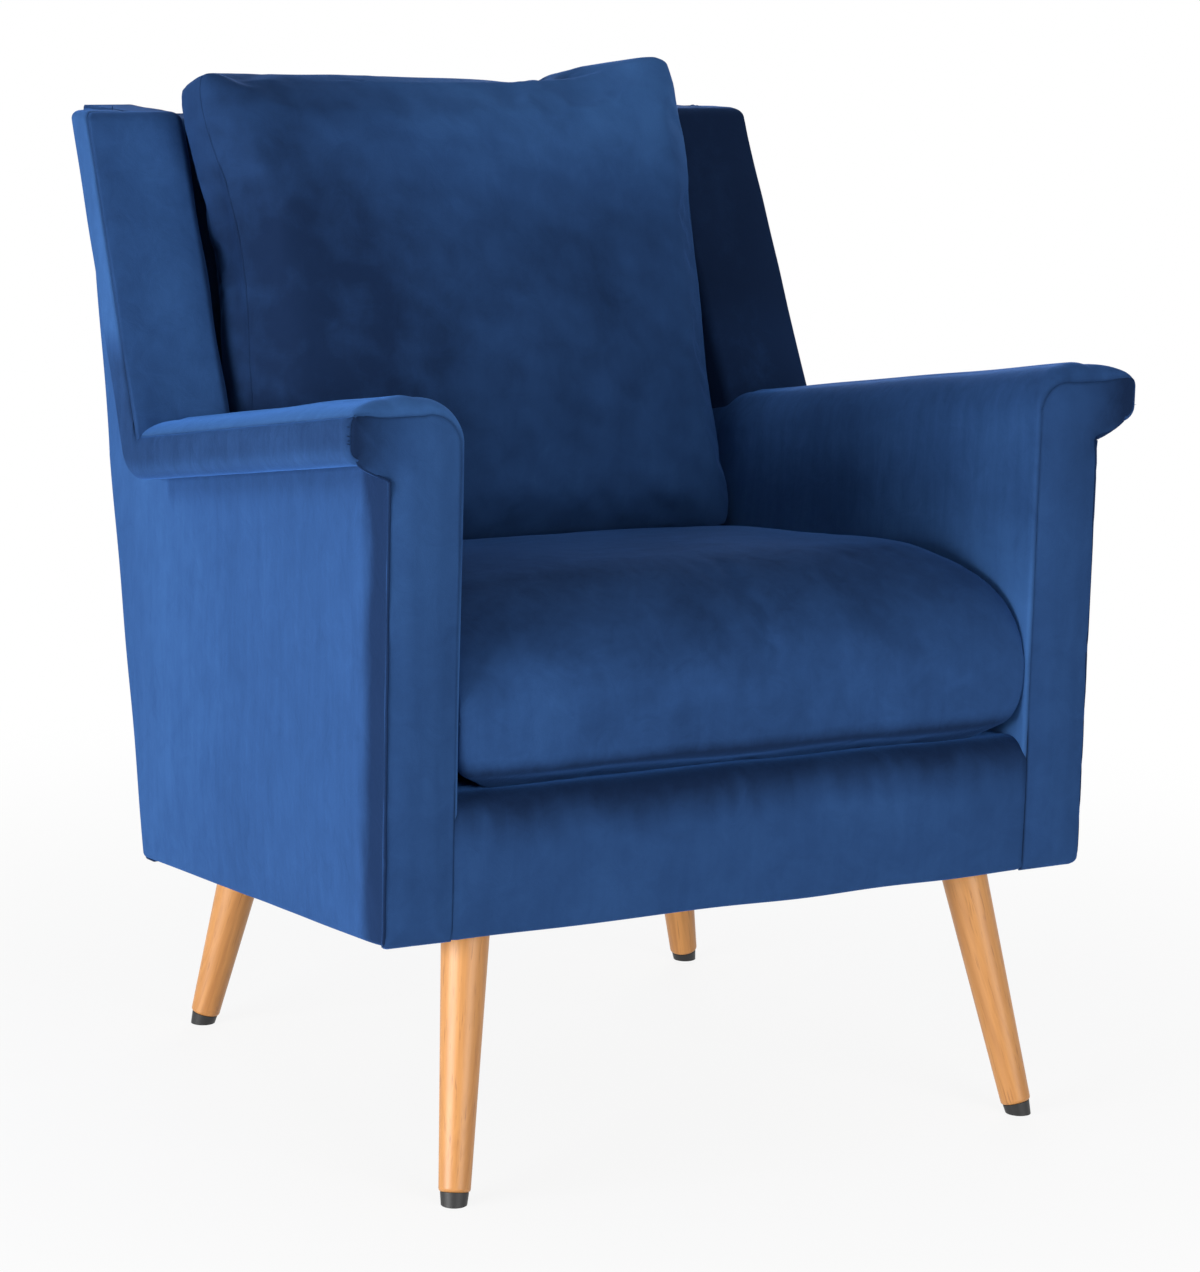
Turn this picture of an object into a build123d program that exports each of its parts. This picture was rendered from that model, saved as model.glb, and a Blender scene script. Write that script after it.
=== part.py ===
from build123d import *
import os
from math import cos, radians, sin, tan

# Upholstered armchair, millimetres. It faces -Y, +X is on the right seen from the front, the floor is z = 0.

# Overall sizes
overall_width = 730  # over the arm flanges
overall_depth = 745  # front glides to the top of the back
wing_top_height = 816

# Body seen from the side
toe_reach = 23  # from the foremost point back to the front of the body
body_bottom_height = 211  # lower edge of the covers at the front
seat_tilt = 6.1  # lower edge and deck fall towards the back
deck_height = 325  # at the front of the body
arm_front_height = 641
arm_slope = 9.7
wing_top_depth = 125  # of a wing along its top edge
wing_recline = 25.9
rear_recline = 14.2
back_thickness = 92
back_drop = 9  # the padded back ends this far below the wings

# Sides seen from above and in section
side_thickness = 60
toe_in = 3.0  # the sides close in towards the back
flange_overhang = 35
flange_height = 50  # of the arm flange, square to the arm
flange_depth = 46  # of the wing flange, square to the wing
flange_turn_radius = 28  # where the arm flange turns up into the wing
arm_flange_radius = 18  # of its outer edges
wing_flange_radius = 6
flange_seam = 30  # the top covers end this far out on the flange
wing_corner_radius = 16
arm_inner_radius = 34
wing_inner_radius = 12

# Covers, boards and padding
cover_thickness = 2
board_thickness = 3
arm_padding = 22
rail_edge_radius = 18
back_edge_radius = 16
deck_pad_thickness = 12
webbing_thickness = 2
webbing_width = 50
seat_straps = 5
cross_straps = 4
back_straps = 4
strap_lap = 20  # how far a strap's end lies on its rail

# Timber
timber_thickness = 30
post_depth = 45
arm_rail_height = 38
rail_thickness = 28
top_rail_height = 50
lower_rail_height = 50
lower_rail_lift = 45  # above the deck
frame_lift = 5  # the covers hang this far below the timber
block_leg = 100
block_height = 42
flange_board_thickness = 12
flange_board_inset = 8

# Legs and their hardware
front_foot_inset = 94  # from the widest point in to the middle of a front foot
rear_foot_inset = 111
foot_advance = 10  # front feet stand this far in front of the body
rear_foot_setback = 30  # from the back edge of the body forward to the rear feet
front_leg_splay = 9.0  # sideways
rear_leg_splay = 12.0
front_leg_lean = 14.0
rear_leg_lean = 6.0
leg_top_radius = 20
leg_foot_radius = 12.75
leg_edge_radius = 3
glide_height = 9
glide_foot_radius = 9.5
glide_top_radius = 11.5
glide_pin_radius = 2.5
glide_pin_length = 14
plate_size = 50
plate_thickness = 2.5
plate_gap = 1  # between a leg plate and the dust cover
plate_screw_spacing = 30
plate_screw_radius = 2
plate_screw_head_radius = 3.8
plate_screw_head_height = 1.8
plate_screw_length = 18
bolt_radius = 4
bolt_in_leg = 32
bolt_in_frame = 22

# Loose cushions
cushion_cover_thickness = 2
cushion_gap = 0.6  # rest clearance to what carries a cushion
seat_side_gap = 2
seat_front_bulge = 14
seat_rear_gap = 5
seat_box_height = 148
seat_crown = 26
seat_corner_radius = 22
back_side_gap = 1.5
back_cushion_height = 421
back_box_depth = 98
back_crown = 46
back_corner_radius = 22
back_ear = 12  # how far the top edge sinks between its corners
draw_in = 5  # how far the other sides sink between their corners

front_y = -overall_depth / 2 + toe_reach
rear_top_y = overall_depth / 2
toe = tan(radians(toe_in))
reach = overall_width  # longer than any piece, for through cuts
frame_inset = cover_thickness + arm_padding
frame_depth = cover_thickness + board_thickness  # timber starts here, from the outer faces
frame_far = frame_depth + timber_thickness
post_far = frame_depth + post_depth
rail_far = frame_depth + rail_thickness
back_web_far = rail_far + webbing_thickness
deck_web_top = cover_thickness + deck_pad_thickness
deck_web_low = deck_web_top + 2 * webbing_thickness
frame_front = front_y + frame_inset
post_rear = frame_front + post_depth
back_top_height = wing_top_height - back_drop

os.makedirs("parts", exist_ok=True)


# Lines seen from the side: a falling line is z = a - b * y, a leaning line is y = c + d * z
def falling(front_height, slope, inset=0.0):
    b = tan(radians(slope))
    return front_height - inset / cos(radians(slope)) + b * front_y, b


def leaning(y, z, recline, inset=0.0):
    d = tan(radians(recline))
    return y + inset / cos(radians(recline)) - d * z, d


def meet(fall, lean):
    z = (fall[0] - fall[1] * lean[0]) / (1 + fall[1] * lean[1])
    return lean[0] + lean[1] * z, z


def at_y(fall, y):
    return y, fall[0] - fall[1] * y


def at_z(lean, z):
    return lean[0] + lean[1] * z, z


def bottom(lift=0.0):
    return falling(body_bottom_height, seat_tilt, -lift)


def deck(inset=0.0):
    return falling(deck_height, seat_tilt, inset)


def arm_top(inset=0.0):
    return falling(arm_front_height, arm_slope, inset)


def wing_front(inset=0.0):
    return leaning(rear_top_y - wing_top_depth, wing_top_height, wing_recline, inset)


def rear(inset=0.0):
    return leaning(rear_top_y, wing_top_height, rear_recline, -inset)


# Sides seen from above: distances run inwards from the outer face of the right side
def outer_x(y):
    return overall_width / 2 - flange_overhang - (y - front_y) * toe


def strip(near, far):
    y0, y1 = front_y - reach, rear_top_y + reach
    x0, x1 = outer_x(y0), outer_x(y1)
    return [(x0 - near, y0), (x1 - near, y1), (x1 - far, y1), (x0 - far, y0)]


def between(inset):
    y0, y1 = front_y - toe_reach, rear_top_y
    x0, x1 = outer_x(y0) - inset, outer_x(y1) - inset
    return [(x0, y0), (x1, y1), (-x1, y1), (-x0, y0)]


# A side view carried across the chair and trimmed to a plan
def prism(profile, plan, radii=0):
    with BuildPart() as solid:
        with BuildSketch(Plane.YZ.offset(-reach)):
            with BuildLine():
                FilletPolyline(*profile, radius=radii, close=True)
            make_face()
        extrude(amount=2 * reach)
        with BuildSketch(Plane.XY):
            with BuildLine():
                Polyline(*plan, close=True)
            make_face()
        extrude(amount=2 * wing_top_height, mode=Mode.INTERSECT)
    return solid.part


# Four-sided side views: between two falling lines and an upright and a leaning end, or between two leaning lines
def slab(low, high, start, back):
    return [at_y(low, start), at_y(high, start), meet(high, back), meet(low, back)]


def upright(low, top, front, back):
    return [meet(low, front), at_z(front, top), at_z(back, top), meet(low, back)]


def write(part, name):
    part.label = name
    export_step(part, f"parts/{name}.step")


def write_pair(part, name):
    write(part, f"right_{name}")
    with BuildPart() as left:
        mirror(part, about=Plane.YZ)
    write(left.part, f"left_{name}")


# Outlines of the right side; inset moves every padded edge inwards
def arm_profile(inset, rear_inset, lift=0.0):
    return slab(bottom(lift), arm_top(inset), front_y + inset, rear(rear_inset))


def wing_profile(inset, rear_inset):
    return upright(arm_top(flange_height), wing_top_height - inset, wing_front(inset), rear(rear_inset))


def arm_flange_profile(inset):
    return slab(arm_top(flange_height - inset), arm_top(inset), front_y + inset, wing_front(flange_depth - inset))


def wing_flange_profile(inset):
    foot, top = arm_top(flange_height / 3), wing_top_height - inset
    return upright(foot, top, wing_front(inset), wing_front(flange_depth - inset))


# Corners get tighter as an outline moves inwards
def wing_corner(inset):
    return max(wing_corner_radius - inset, 0)


def arm_flange(inset, plan):
    return prism(arm_flange_profile(inset), plan, [0, 0, 0, flange_turn_radius - inset])


def wing_flange(inset, plan):
    corner = wing_corner(inset)
    return prism(wing_flange_profile(inset), plan, [0, corner, corner, 0])


def wing(inset, rear_inset, plan):
    return prism(wing_profile(inset, rear_inset), plan, [0, wing_corner(inset), 0, 0])


def flange_plate(inset, plan):
    with BuildPart() as plate:
        add(arm_flange(inset, plan))
        add(wing_flange(inset, plan))
    return plate.part


def side_plate(inset, rear_inset, lift, plan):
    with BuildPart() as plate:
        add(prism(arm_profile(inset, rear_inset, lift), plan))
        add(wing(inset, rear_inset, plan))
    return plate.part


def rim(edges, *lines):
    def lies_on(edge):
        middle = edge @ 0.5
        return any(abs(middle.Z - line[0] + line[1] * middle.Y) < 0.5 for line in lines)

    return edges.filter_by(lies_on)


def lean_as_fall(lean):
    return -lean[0] / lean[1], -1 / lean[1]


# The padded volume of the right side: arm, wing, and the flange outside both
def side_volume(inset, rear_inset):
    stem, outside = strip(inset, side_thickness - inset), strip(inset - flange_overhang, inset)
    front_line, behind_line = wing_front(inset), wing_front(flange_depth - inset)
    with BuildPart() as arm_form:
        add(prism(arm_profile(inset, rear_inset), stem))
        inner_edges = arm_form.faces().sort_by(Axis.X)[0].edges()
        fillet(rim(inner_edges, arm_top(inset)), arm_inner_radius - inset)
    with BuildPart() as wing_form:
        add(wing(inset, rear_inset, stem))
        inner_edges = wing_form.faces().sort_by(Axis.X)[0].edges()
        fillet(rim(inner_edges, lean_as_fall(front_line)), wing_inner_radius - inset)
    with BuildPart() as arm_flange_form:
        add(arm_flange(inset, outside))
        outer_edges = arm_flange_form.faces().sort_by(Axis.X)[-1].edges()
        edge_lines = arm_top(flange_height - inset), arm_top(inset)
        fillet(rim(outer_edges, *edge_lines), arm_flange_radius - inset)
    with BuildPart() as wing_flange_form:
        add(wing_flange(inset, outside))
        outer_edges = wing_flange_form.faces().sort_by(Axis.X)[-1].edges()
        edge_lines = lean_as_fall(front_line), lean_as_fall(behind_line)
        fillet(rim(outer_edges, *edge_lines), wing_flange_radius - inset)
    with BuildPart() as volume:
        for form in (arm_form, wing_form, arm_flange_form, wing_flange_form):
            add(form.part)
    return volume.part


side_outer = side_volume(0, cover_thickness)
side_inner = side_volume(cover_thickness, cover_thickness)

# Regions that part the covers and the padding of a side
far_high = wing_top_height + reach
whole_side = strip(-reach, side_thickness + cover_thickness)
above_arm = prism(
    [at_y(arm_top(), front_y - reach), (front_y - reach, far_high), (rear_top_y + reach, far_high),
     at_y(arm_top(), rear_top_y + reach)],
    whole_side,
)
mid_arm, mid_wing = arm_top(flange_height / 2), wing_front(flange_depth / 2)
flange_top_zone = prism(
    [at_y(mid_arm, front_y - reach), (front_y - reach, far_high), at_z(mid_wing, far_high), meet(mid_arm, mid_wing)],
    strip(-flange_seam, cover_thickness),
)
front_zone = prism(
    [(front_y - reach, 0), (front_y - reach, far_high), (front_y + cover_thickness, far_high),
     (front_y + cover_thickness, 0)],
    whole_side,
)
inner_zone = strip(frame_far, side_thickness + cover_thickness)
below_deck_zone = prism(
    slab((0, 0), deck(deck_web_top), frame_front, rear()),
    inner_zone,
)
behind_back_zone = prism(
    upright(bottom(), back_top_height - cover_thickness, rear(back_web_far), rear()),
    inner_zone,
)
below_frame_zone = prism(slab((0, 0), bottom(frame_lift), front_y, rear()), whole_side)

# Boards under the outside covers
board_strip = strip(cover_thickness, frame_depth)
with BuildPart() as side_board:
    add(side_plate(frame_inset, frame_depth, frame_lift, board_strip))
write_pair(side_board.part, "side_board")

with BuildPart() as back_board:
    board_top = back_top_height - cover_thickness
    add(prism(upright(bottom(frame_lift), board_top, rear(frame_depth), rear(cover_thickness)), between(cover_thickness)))
write(back_board.part, "back_board")

with BuildPart() as flange_board:
    add(flange_plate(flange_board_inset, strip(cover_thickness - flange_board_thickness, cover_thickness)))
write_pair(flange_board.part, "flange_board")

# Covers of a side
with BuildPart() as arm_front_panel:
    add(side_outer)
    add(front_zone, mode=Mode.INTERSECT)
write_pair(arm_front_panel.part, "arm_front_panel")

with BuildPart() as outside_cover:
    add(side_plate(0, cover_thickness, 0, strip(0, cover_thickness)))
    add(flange_plate(0, strip(-cover_thickness, 2 * cover_thickness)), mode=Mode.SUBTRACT)
    add(front_zone, mode=Mode.SUBTRACT)
write_pair(outside_cover.part, "outside_cover")

with BuildPart() as border_band:
    add(side_outer)
    add(side_inner, mode=Mode.SUBTRACT)
    add(flange_plate(0, strip(-reach, cover_thickness)), mode=Mode.INTERSECT)
    add(front_zone, mode=Mode.SUBTRACT)
    add(flange_top_zone, mode=Mode.SUBTRACT)
write_pair(border_band.part, "border_band")

with BuildPart() as inside_covers:
    add(side_outer)
    add(side_inner, mode=Mode.SUBTRACT)
    add(front_zone, mode=Mode.SUBTRACT)
    add(outside_cover.part, mode=Mode.SUBTRACT)
    add(border_band.part, mode=Mode.SUBTRACT)
    for zone in (below_deck_zone, behind_back_zone, below_frame_zone):
        add(zone, mode=Mode.SUBTRACT)

with BuildPart() as inside_arm_cover:
    add(inside_covers.part)
    add(above_arm, mode=Mode.SUBTRACT)
write_pair(inside_arm_cover.part, "inside_arm_cover")

with BuildPart() as wing_cover:
    add(inside_covers.part)
    add(above_arm, mode=Mode.INTERSECT)
write_pair(wing_cover.part, "wing_cover")

# Padding of a side, round the timber
with BuildPart() as side_pads:
    add(side_inner)
    add(side_plate(frame_inset, frame_depth, 0, strip(cover_thickness, frame_far)), mode=Mode.SUBTRACT)
    for zone in (below_deck_zone, behind_back_zone, below_frame_zone, back_board.part, flange_board.part):
        add(zone, mode=Mode.SUBTRACT)

with BuildPart() as arm_pad:
    add(side_pads.part)
    add(above_arm, mode=Mode.SUBTRACT)
write_pair(arm_pad.part, "arm_pad")

with BuildPart() as wing_pad:
    add(side_pads.part)
    add(above_arm, mode=Mode.INTERSECT)
write_pair(wing_pad.part, "wing_pad")

# Legs, their plates, bolts, screws and glides: built on the right, mirrored to the left
tilt = radians(seat_tilt)
up_normal = (0, sin(tilt), cos(tilt))


def leg_axis(splay, lean):
    return Vector(-tan(radians(splay)), tan(radians(lean)), 1).normalized()


def axis_top(foot, axis, lift):
    fall = bottom(lift)
    run = (fall[0] - fall[1] * foot.Y - foot.Z) / (axis.Z + fall[1] * axis.Y)
    return foot + axis * run


rear_foot_y = meet(bottom(), rear())[0] - rear_foot_setback
front_foot = Vector(overall_width / 2 - front_foot_inset, front_y - foot_advance, 0)
rear_foot = Vector(overall_width / 2 - rear_foot_inset, rear_foot_y, 0)
leg_ends = {
    "front": (front_foot, leg_axis(front_leg_splay, front_leg_lean)),
    "rear": (rear_foot, leg_axis(rear_leg_splay, -rear_leg_lean)),
}
hanger_bolts, plate_screws, leg_plates, plate_cuts = [], [], [], []

for end, (foot, axis) in leg_ends.items():
    plate_centre = axis_top(foot, axis, frame_lift)
    plate_plane = Plane(origin=plate_centre, x_dir=(1, 0, 0), z_dir=up_normal)
    leg_start = foot + axis * (glide_height / axis.Z)
    leg_length = (plate_centre - leg_start).length

    with BuildPart() as bolt:
        with Locations(Plane(origin=plate_centre - axis * bolt_in_leg, z_dir=axis)):
            Cylinder(bolt_radius, bolt_in_leg + bolt_in_frame, align=(Align.CENTER, Align.CENTER, Align.MIN))
    hanger_bolts.append(bolt.part)

    with BuildPart() as screws:
        with BuildSketch(plate_plane.offset(-plate_thickness)):
            with GridLocations(plate_screw_spacing, plate_screw_spacing, 2, 2):
                Circle(plate_screw_radius)
        extrude(amount=plate_screw_length)
        with Locations(plate_plane.offset(-plate_thickness)):
            with GridLocations(plate_screw_spacing, plate_screw_spacing, 2, 2):
                Cone(plate_screw_head_radius, plate_screw_radius, plate_screw_head_height,
                     align=(Align.CENTER, Align.CENTER, Align.MIN))
    plate_screws.append(screws.part)

    with BuildPart() as leg_plate:
        with BuildSketch(plate_plane):
            RectangleRounded(plate_size, plate_size, plate_screw_head_radius)
        extrude(amount=-plate_thickness)
        add(screws.part, mode=Mode.SUBTRACT)
        add(bolt.part, mode=Mode.SUBTRACT)
    leg_plates.append(leg_plate.part)

    with BuildPart() as plate_cut:
        with BuildSketch(plate_plane):
            Rectangle(plate_size + 2 * plate_gap, plate_size + 2 * plate_gap)
        extrude(amount=plate_size / 2, both=True)
    plate_cuts.append(plate_cut.part)

    with BuildPart() as glide:
        with Locations(Plane(origin=foot, z_dir=axis)):
            Cone(glide_foot_radius, glide_top_radius, 2 * glide_height / axis.Z)
        with Locations(Plane(origin=leg_start, z_dir=axis)):
            Cylinder(glide_pin_radius, glide_pin_length, align=(Align.CENTER, Align.CENTER, Align.MIN))
        split(bisect_by=Plane.XY, keep=Keep.TOP)
    write_pair(glide.part, f"{end}_foot_glide")

    with BuildPart() as leg:
        with Locations(Plane(origin=leg_start, z_dir=axis)):
            Cone(leg_foot_radius, leg_top_radius, leg_length + leg_top_radius / 2,
                 align=(Align.CENTER, Align.CENTER, Align.MIN))
        fillet(leg.edges().sort_by(Axis.Z)[0], leg_edge_radius)
        split(bisect_by=plate_plane.offset(-plate_thickness), keep=Keep.BOTTOM)
        add(bolt.part, mode=Mode.SUBTRACT)
        add(glide.part, mode=Mode.SUBTRACT)
    write_pair(leg.part, f"{end}_leg")


def both_sides(parts):
    with BuildPart() as group:
        add(parts)
        mirror(parts, about=Plane.YZ)
    return group.part


hardware = {"hanger_bolts": both_sides(hanger_bolts), "plate_screws": both_sides(plate_screws)}
for name, part in hardware.items():
    write(part, name)
write(both_sides(leg_plates), "leg_plates")


def write_timber(part, name, paired=False):
    with BuildPart() as bored:
        add(part)
        for fastener in hardware.values():
            add(fastener, mode=Mode.SUBTRACT)
    if paired:
        write_pair(bored.part, name)
    else:
        write(bored.part, name)


# Timber of the sides
timber_strip = strip(frame_depth, frame_far)
timber_bottom = bottom(frame_lift)
post_top = wing_top_height - frame_inset

write_timber(prism(upright(timber_bottom, post_top, rear(post_far), rear(frame_depth)), timber_strip), "back_post", True)

arm_rail_top, arm_rail_low = arm_top(frame_inset), arm_top(frame_inset + arm_rail_height)
arm_front_post = prism(
    [at_y(timber_bottom, frame_front), at_y(arm_rail_top, frame_front), at_y(arm_rail_top, post_rear),
     at_y(timber_bottom, post_rear)],
    timber_strip,
)
write_timber(arm_front_post, "arm_front_post", True)
write_timber(prism(slab(arm_rail_low, arm_rail_top, post_rear, rear(post_far)), timber_strip), "arm_top_rail", True)
side_rail_top = deck(deck_web_top + webbing_thickness)
write_timber(prism(slab(timber_bottom, side_rail_top, post_rear, rear(post_far)), timber_strip), "seat_rail", True)

# Timber across the chair
across = between(frame_far)
rail_top = deck(deck_web_low)
rail_rear = frame_front + rail_thickness
front_seat_rail = prism(
    [at_y(timber_bottom, frame_front), at_y(rail_top, frame_front), at_y(rail_top, rail_rear),
     at_y(timber_bottom, rail_rear)],
    across,
)
write_timber(front_seat_rail, "front_seat_rail")


rail_front_line, rail_back_line = rear(rail_far), rear(frame_depth)
rear_rail_profile = [meet(timber_bottom, rail_front_line), meet(rail_top, rail_front_line),
                     meet(rail_top, rail_back_line), meet(timber_bottom, rail_back_line)]
write_timber(prism(rear_rail_profile, across), "rear_seat_rail")


def back_rail(low, high):
    return prism([at_z(rail_front_line, low), at_z(rail_front_line, high), at_z(rail_back_line, high),
                  at_z(rail_back_line, low)], across)


top_rail_top = back_top_height - cover_thickness
top_rail_low = top_rail_top - top_rail_height
lower_rail_low = meet(deck(), rail_front_line)[1] + lower_rail_lift
lower_rail_top = lower_rail_low + lower_rail_height
write_timber(back_rail(top_rail_low, top_rail_top), "back_top_rail")
write_timber(back_rail(lower_rail_low, lower_rail_top), "back_lower_rail")

# Corner blocks fill the four corners of the seat frame
block_top = bottom(frame_lift + block_height)
block_profile = slab(timber_bottom, block_top, rail_rear, rail_front_line)
block_rear = meet(timber_bottom, rail_front_line)[0]
block_back = meet(block_top, rail_front_line)[0]


def frame_x(y):
    return outer_x(y) - frame_far


block_plans = [
    [(frame_x(rail_rear), rail_rear), (frame_x(rail_rear) - block_leg, rail_rear),
     (frame_x(rail_rear + block_leg), rail_rear + block_leg)],
    [(frame_x(block_back), block_back), (frame_x(block_rear) - block_leg, block_back),
     (frame_x(block_rear) - block_leg, block_rear), (frame_x(block_rear - block_leg), block_rear - block_leg)],
]
blocks = [prism(block_profile, plan) for plan in block_plans]
write_timber(both_sides(blocks), "seat_corner_blocks")


# Webbing: each strap laps its two rails
def strap(profile, middle, width):
    half = width / 2
    return prism(profile, [(middle - half, front_y), (middle + half, front_y), (middle + half, rear_top_y),
                           (middle - half, rear_top_y)])


def spread(count, low, high):
    step = (high - low) / count
    return [low + step * (i + 0.5) for i in range(count)]


def group(parts):
    with BuildPart() as straps:
        add(parts)
    return straps.part


strap_start = rail_rear - strap_lap
strap_back = rear(rail_far - strap_lap)
strap_half_span = outer_x(meet(deck(), rear())[0]) - side_thickness
long_profile = slab(deck(deck_web_low), deck(deck_web_low - webbing_thickness), strap_start, strap_back)
long_middles = spread(seat_straps, -strap_half_span, strap_half_span)
write(group([strap(long_profile, middle, webbing_width) for middle in long_middles]), "seat_webbing")

cross_low, cross_top = deck(deck_web_top + webbing_thickness), deck(deck_web_top)
cross_plan = between(frame_far - strap_lap)
cross_straps_made = []
for middle in spread(cross_straps, post_rear, block_rear - post_depth):
    y0, y1 = middle - webbing_width / 2, middle + webbing_width / 2
    profile = [at_y(cross_low, y0), at_y(cross_top, y0), at_y(cross_top, y1), at_y(cross_low, y1)]
    cross_straps_made.append(prism(profile, cross_plan))
write(group(cross_straps_made), "seat_cross_webbing")

web_front_line = rear(back_web_far)
web_low, web_high = lower_rail_top - strap_lap, top_rail_low + strap_lap
back_web_profile = [at_z(web_front_line, web_low), at_z(web_front_line, web_high), at_z(rail_front_line, web_high),
                    at_z(rail_front_line, web_low)]
back_middles = spread(back_straps, -strap_half_span, strap_half_span)
write(group([strap(back_web_profile, middle, webbing_width) for middle in back_middles]), "back_webbing")

# Deck, front rail and back: padding and covers between the sides
inside = between(side_thickness)
back_front_line = rear(back_thickness)
back_pad_line = rear(back_thickness - cover_thickness)
tuck = deck(deck_web_top)
back_pad_top = back_top_height - cover_thickness

with BuildPart() as deck_pad:
    add(prism(slab(tuck, deck(cover_thickness), frame_front, back_front_line), inside))
write(deck_pad.part, "deck_pad")

with BuildPart() as deck_cover:
    add(prism(slab(deck(cover_thickness), deck(), frame_front, back_front_line), inside))
write(deck_cover.part, "deck_cover")


def rail_profile(inset, lift):
    start = front_y + inset
    return [at_y(bottom(lift), start), at_y(deck(inset), start), at_y(deck(inset), frame_front),
            at_y(bottom(lift), frame_front)]


rail_pad_profile = rail_profile(cover_thickness, frame_lift)
with BuildPart() as front_rail_pad:
    add(prism(rail_pad_profile, inside, [0, rail_edge_radius - cover_thickness, 0, 0]))
write(front_rail_pad.part, "front_rail_pad")

with BuildPart() as front_rail_cover:
    add(prism(rail_profile(0, 0), inside, [0, rail_edge_radius, 0, 0]))
    hollow = rail_profile(cover_thickness, -frame_lift)
    add(prism(hollow, inside, [0, rail_edge_radius - cover_thickness, 0, 0]), mode=Mode.SUBTRACT)
write(front_rail_cover.part, "front_rail_cover")

back_edge = [0, back_edge_radius, 0, 0]
pad_edge = [0, back_edge_radius - cover_thickness, 0, 0]
with BuildPart() as back_pad:
    add(prism(upright(tuck, back_pad_top, back_pad_line, web_front_line), inside, pad_edge))
write(back_pad.part, "back_pad")

with BuildPart() as inside_back_cover:
    add(prism(upright(tuck, back_top_height, back_front_line, rear(cover_thickness)), inside, back_edge))
    hollow = upright(bottom(), back_pad_top, back_pad_line, rear())
    add(prism(hollow, inside, pad_edge), mode=Mode.SUBTRACT)
write(inside_back_cover.part, "inside_back_cover")

with BuildPart() as outside_back_cover:
    add(prism(upright(bottom(), wing_top_height, rear(cover_thickness), rear()), between(0)))
    add(prism([(front_y, back_top_height), (front_y, far_high), (rear_top_y + reach, far_high),
               (rear_top_y + reach, back_top_height)], inside), mode=Mode.SUBTRACT)
write(outside_back_cover.part, "outside_back_cover")

with BuildPart() as dust_cover:
    dust_bottom = bottom(frame_lift - cover_thickness)
    dust_start = front_y + cover_thickness
    add(prism(slab(dust_bottom, timber_bottom, dust_start, rear(cover_thickness)), between(cover_thickness)))
    add(both_sides(plate_cuts), mode=Mode.SUBTRACT)
write(dust_cover.part, "dust_cover")


# Loose cushions: plan outlines lofted through their thickness
# Each step is a share of the box height, a share of the crown and how far the outline is drawn in
cushion_steps = [(0, 0, 14), (0.05, 0, 7), (0.2, 0, 1), (0.45, 0, 0), (0.75, 0, 1), (0.93, 0, 6),
                 (1, 0.12, 14), (1, 0.5, 36), (1, 0.8, 70), (1, 1, 125)]
corner_growth = 0.25  # corners widen as the outline is drawn in


def cushion(plane, box, crown, outline, corner_radius, skin):
    with BuildPart() as form:
        for box_share, crown_share, inset in cushion_steps:
            scale_in = (box + crown - 2 * skin) / (box + crown)
            height = skin + (box * box_share + crown * crown_share) * scale_in
            with BuildSketch(plane.offset(height)) as section:
                with BuildLine():
                    for start, middle, end in outline(inset + skin, height):
                        ThreePointArc(start, middle, end)
                make_face()
                fillet(section.vertices(), corner_radius + corner_growth * inset - skin / 2)
        loft(ruled=True)
    return form.part


def bowed(corners, bows):
    sides = []
    for i, (start, bow) in enumerate(zip(corners, bows)):
        end = corners[(i + 1) % len(corners)]
        run, rise = end[0] - start[0], end[1] - start[1]
        length = (run * run + rise * rise) ** 0.5
        middle = ((start[0] + end[0]) / 2 - bow * rise / length, (start[1] + end[1]) / 2 + bow * run / length)
        sides.append((start, middle, end))
    return sides


# Half the room between the sides where a cushion lies
def side_room(y, gap):
    return outer_x(y) - side_thickness - gap


seat_plane = Plane(origin=(0, front_y, deck_height), x_dir=(1, 0, 0), z_dir=up_normal).offset(cushion_gap)
seat_rear = (meet(deck(), back_front_line)[0] - front_y) / cos(tilt) - seat_rear_gap


def seat_outline(inset, height):
    v0, v1 = inset - seat_front_bulge, seat_rear - inset
    rise = height * sin(tilt)
    x0, x1 = [side_room(front_y + v * cos(tilt) + rise, seat_side_gap) - inset for v in (v0, v1)]
    return bowed([(-x0, v0), (x0, v0), (x1, v1), (-x1, v1)], [-draw_in, draw_in, draw_in, draw_in])


lean = radians(rear_recline)
seat_height = seat_box_height + seat_crown + 2 * cushion_gap
back_cushion_front = rear(back_thickness + cushion_gap + back_box_depth)
touch_y, touch_z = meet(deck(-seat_height), back_cushion_front)
back_start_y = touch_y + back_box_depth * cos(lean)
back_start_z = touch_z - back_box_depth * sin(lean)
back_plane = Plane(origin=(0, back_start_y, back_start_z), x_dir=(1, 0, 0), z_dir=(0, -cos(lean), sin(lean)))


def back_outline(inset, height):
    v0, v1 = inset, back_cushion_height - inset
    start = back_start_y - height * cos(lean)
    x0, x1 = [side_room(start + v * sin(lean), back_side_gap) - inset for v in (v0, v1)]
    return bowed([(-x0, v0), (x0, v0), (x1, v1), (-x1, v1)], [draw_in, draw_in, back_ear, draw_in])


for name, plane, box, crown, outline, corner_radius in (
    ("seat_cushion", seat_plane, seat_box_height, seat_crown, seat_outline, seat_corner_radius),
    ("back_cushion", back_plane, back_box_depth, back_crown, back_outline, back_corner_radius),
):
    core = cushion(plane, box, crown, outline, corner_radius, cushion_cover_thickness)
    with BuildPart() as cushion_cover:
        add(cushion(plane, box, crown, outline, corner_radius, 0))
        add(core, mode=Mode.SUBTRACT)
    write(core, f"{name}_core")
    write(cushion_cover.part, f"{name}_cover")
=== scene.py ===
import bmesh
import bpy
import math
import numpy as np
from mathutils import Matrix, Vector
from mathutils.bvhtree import BVHTree


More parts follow.
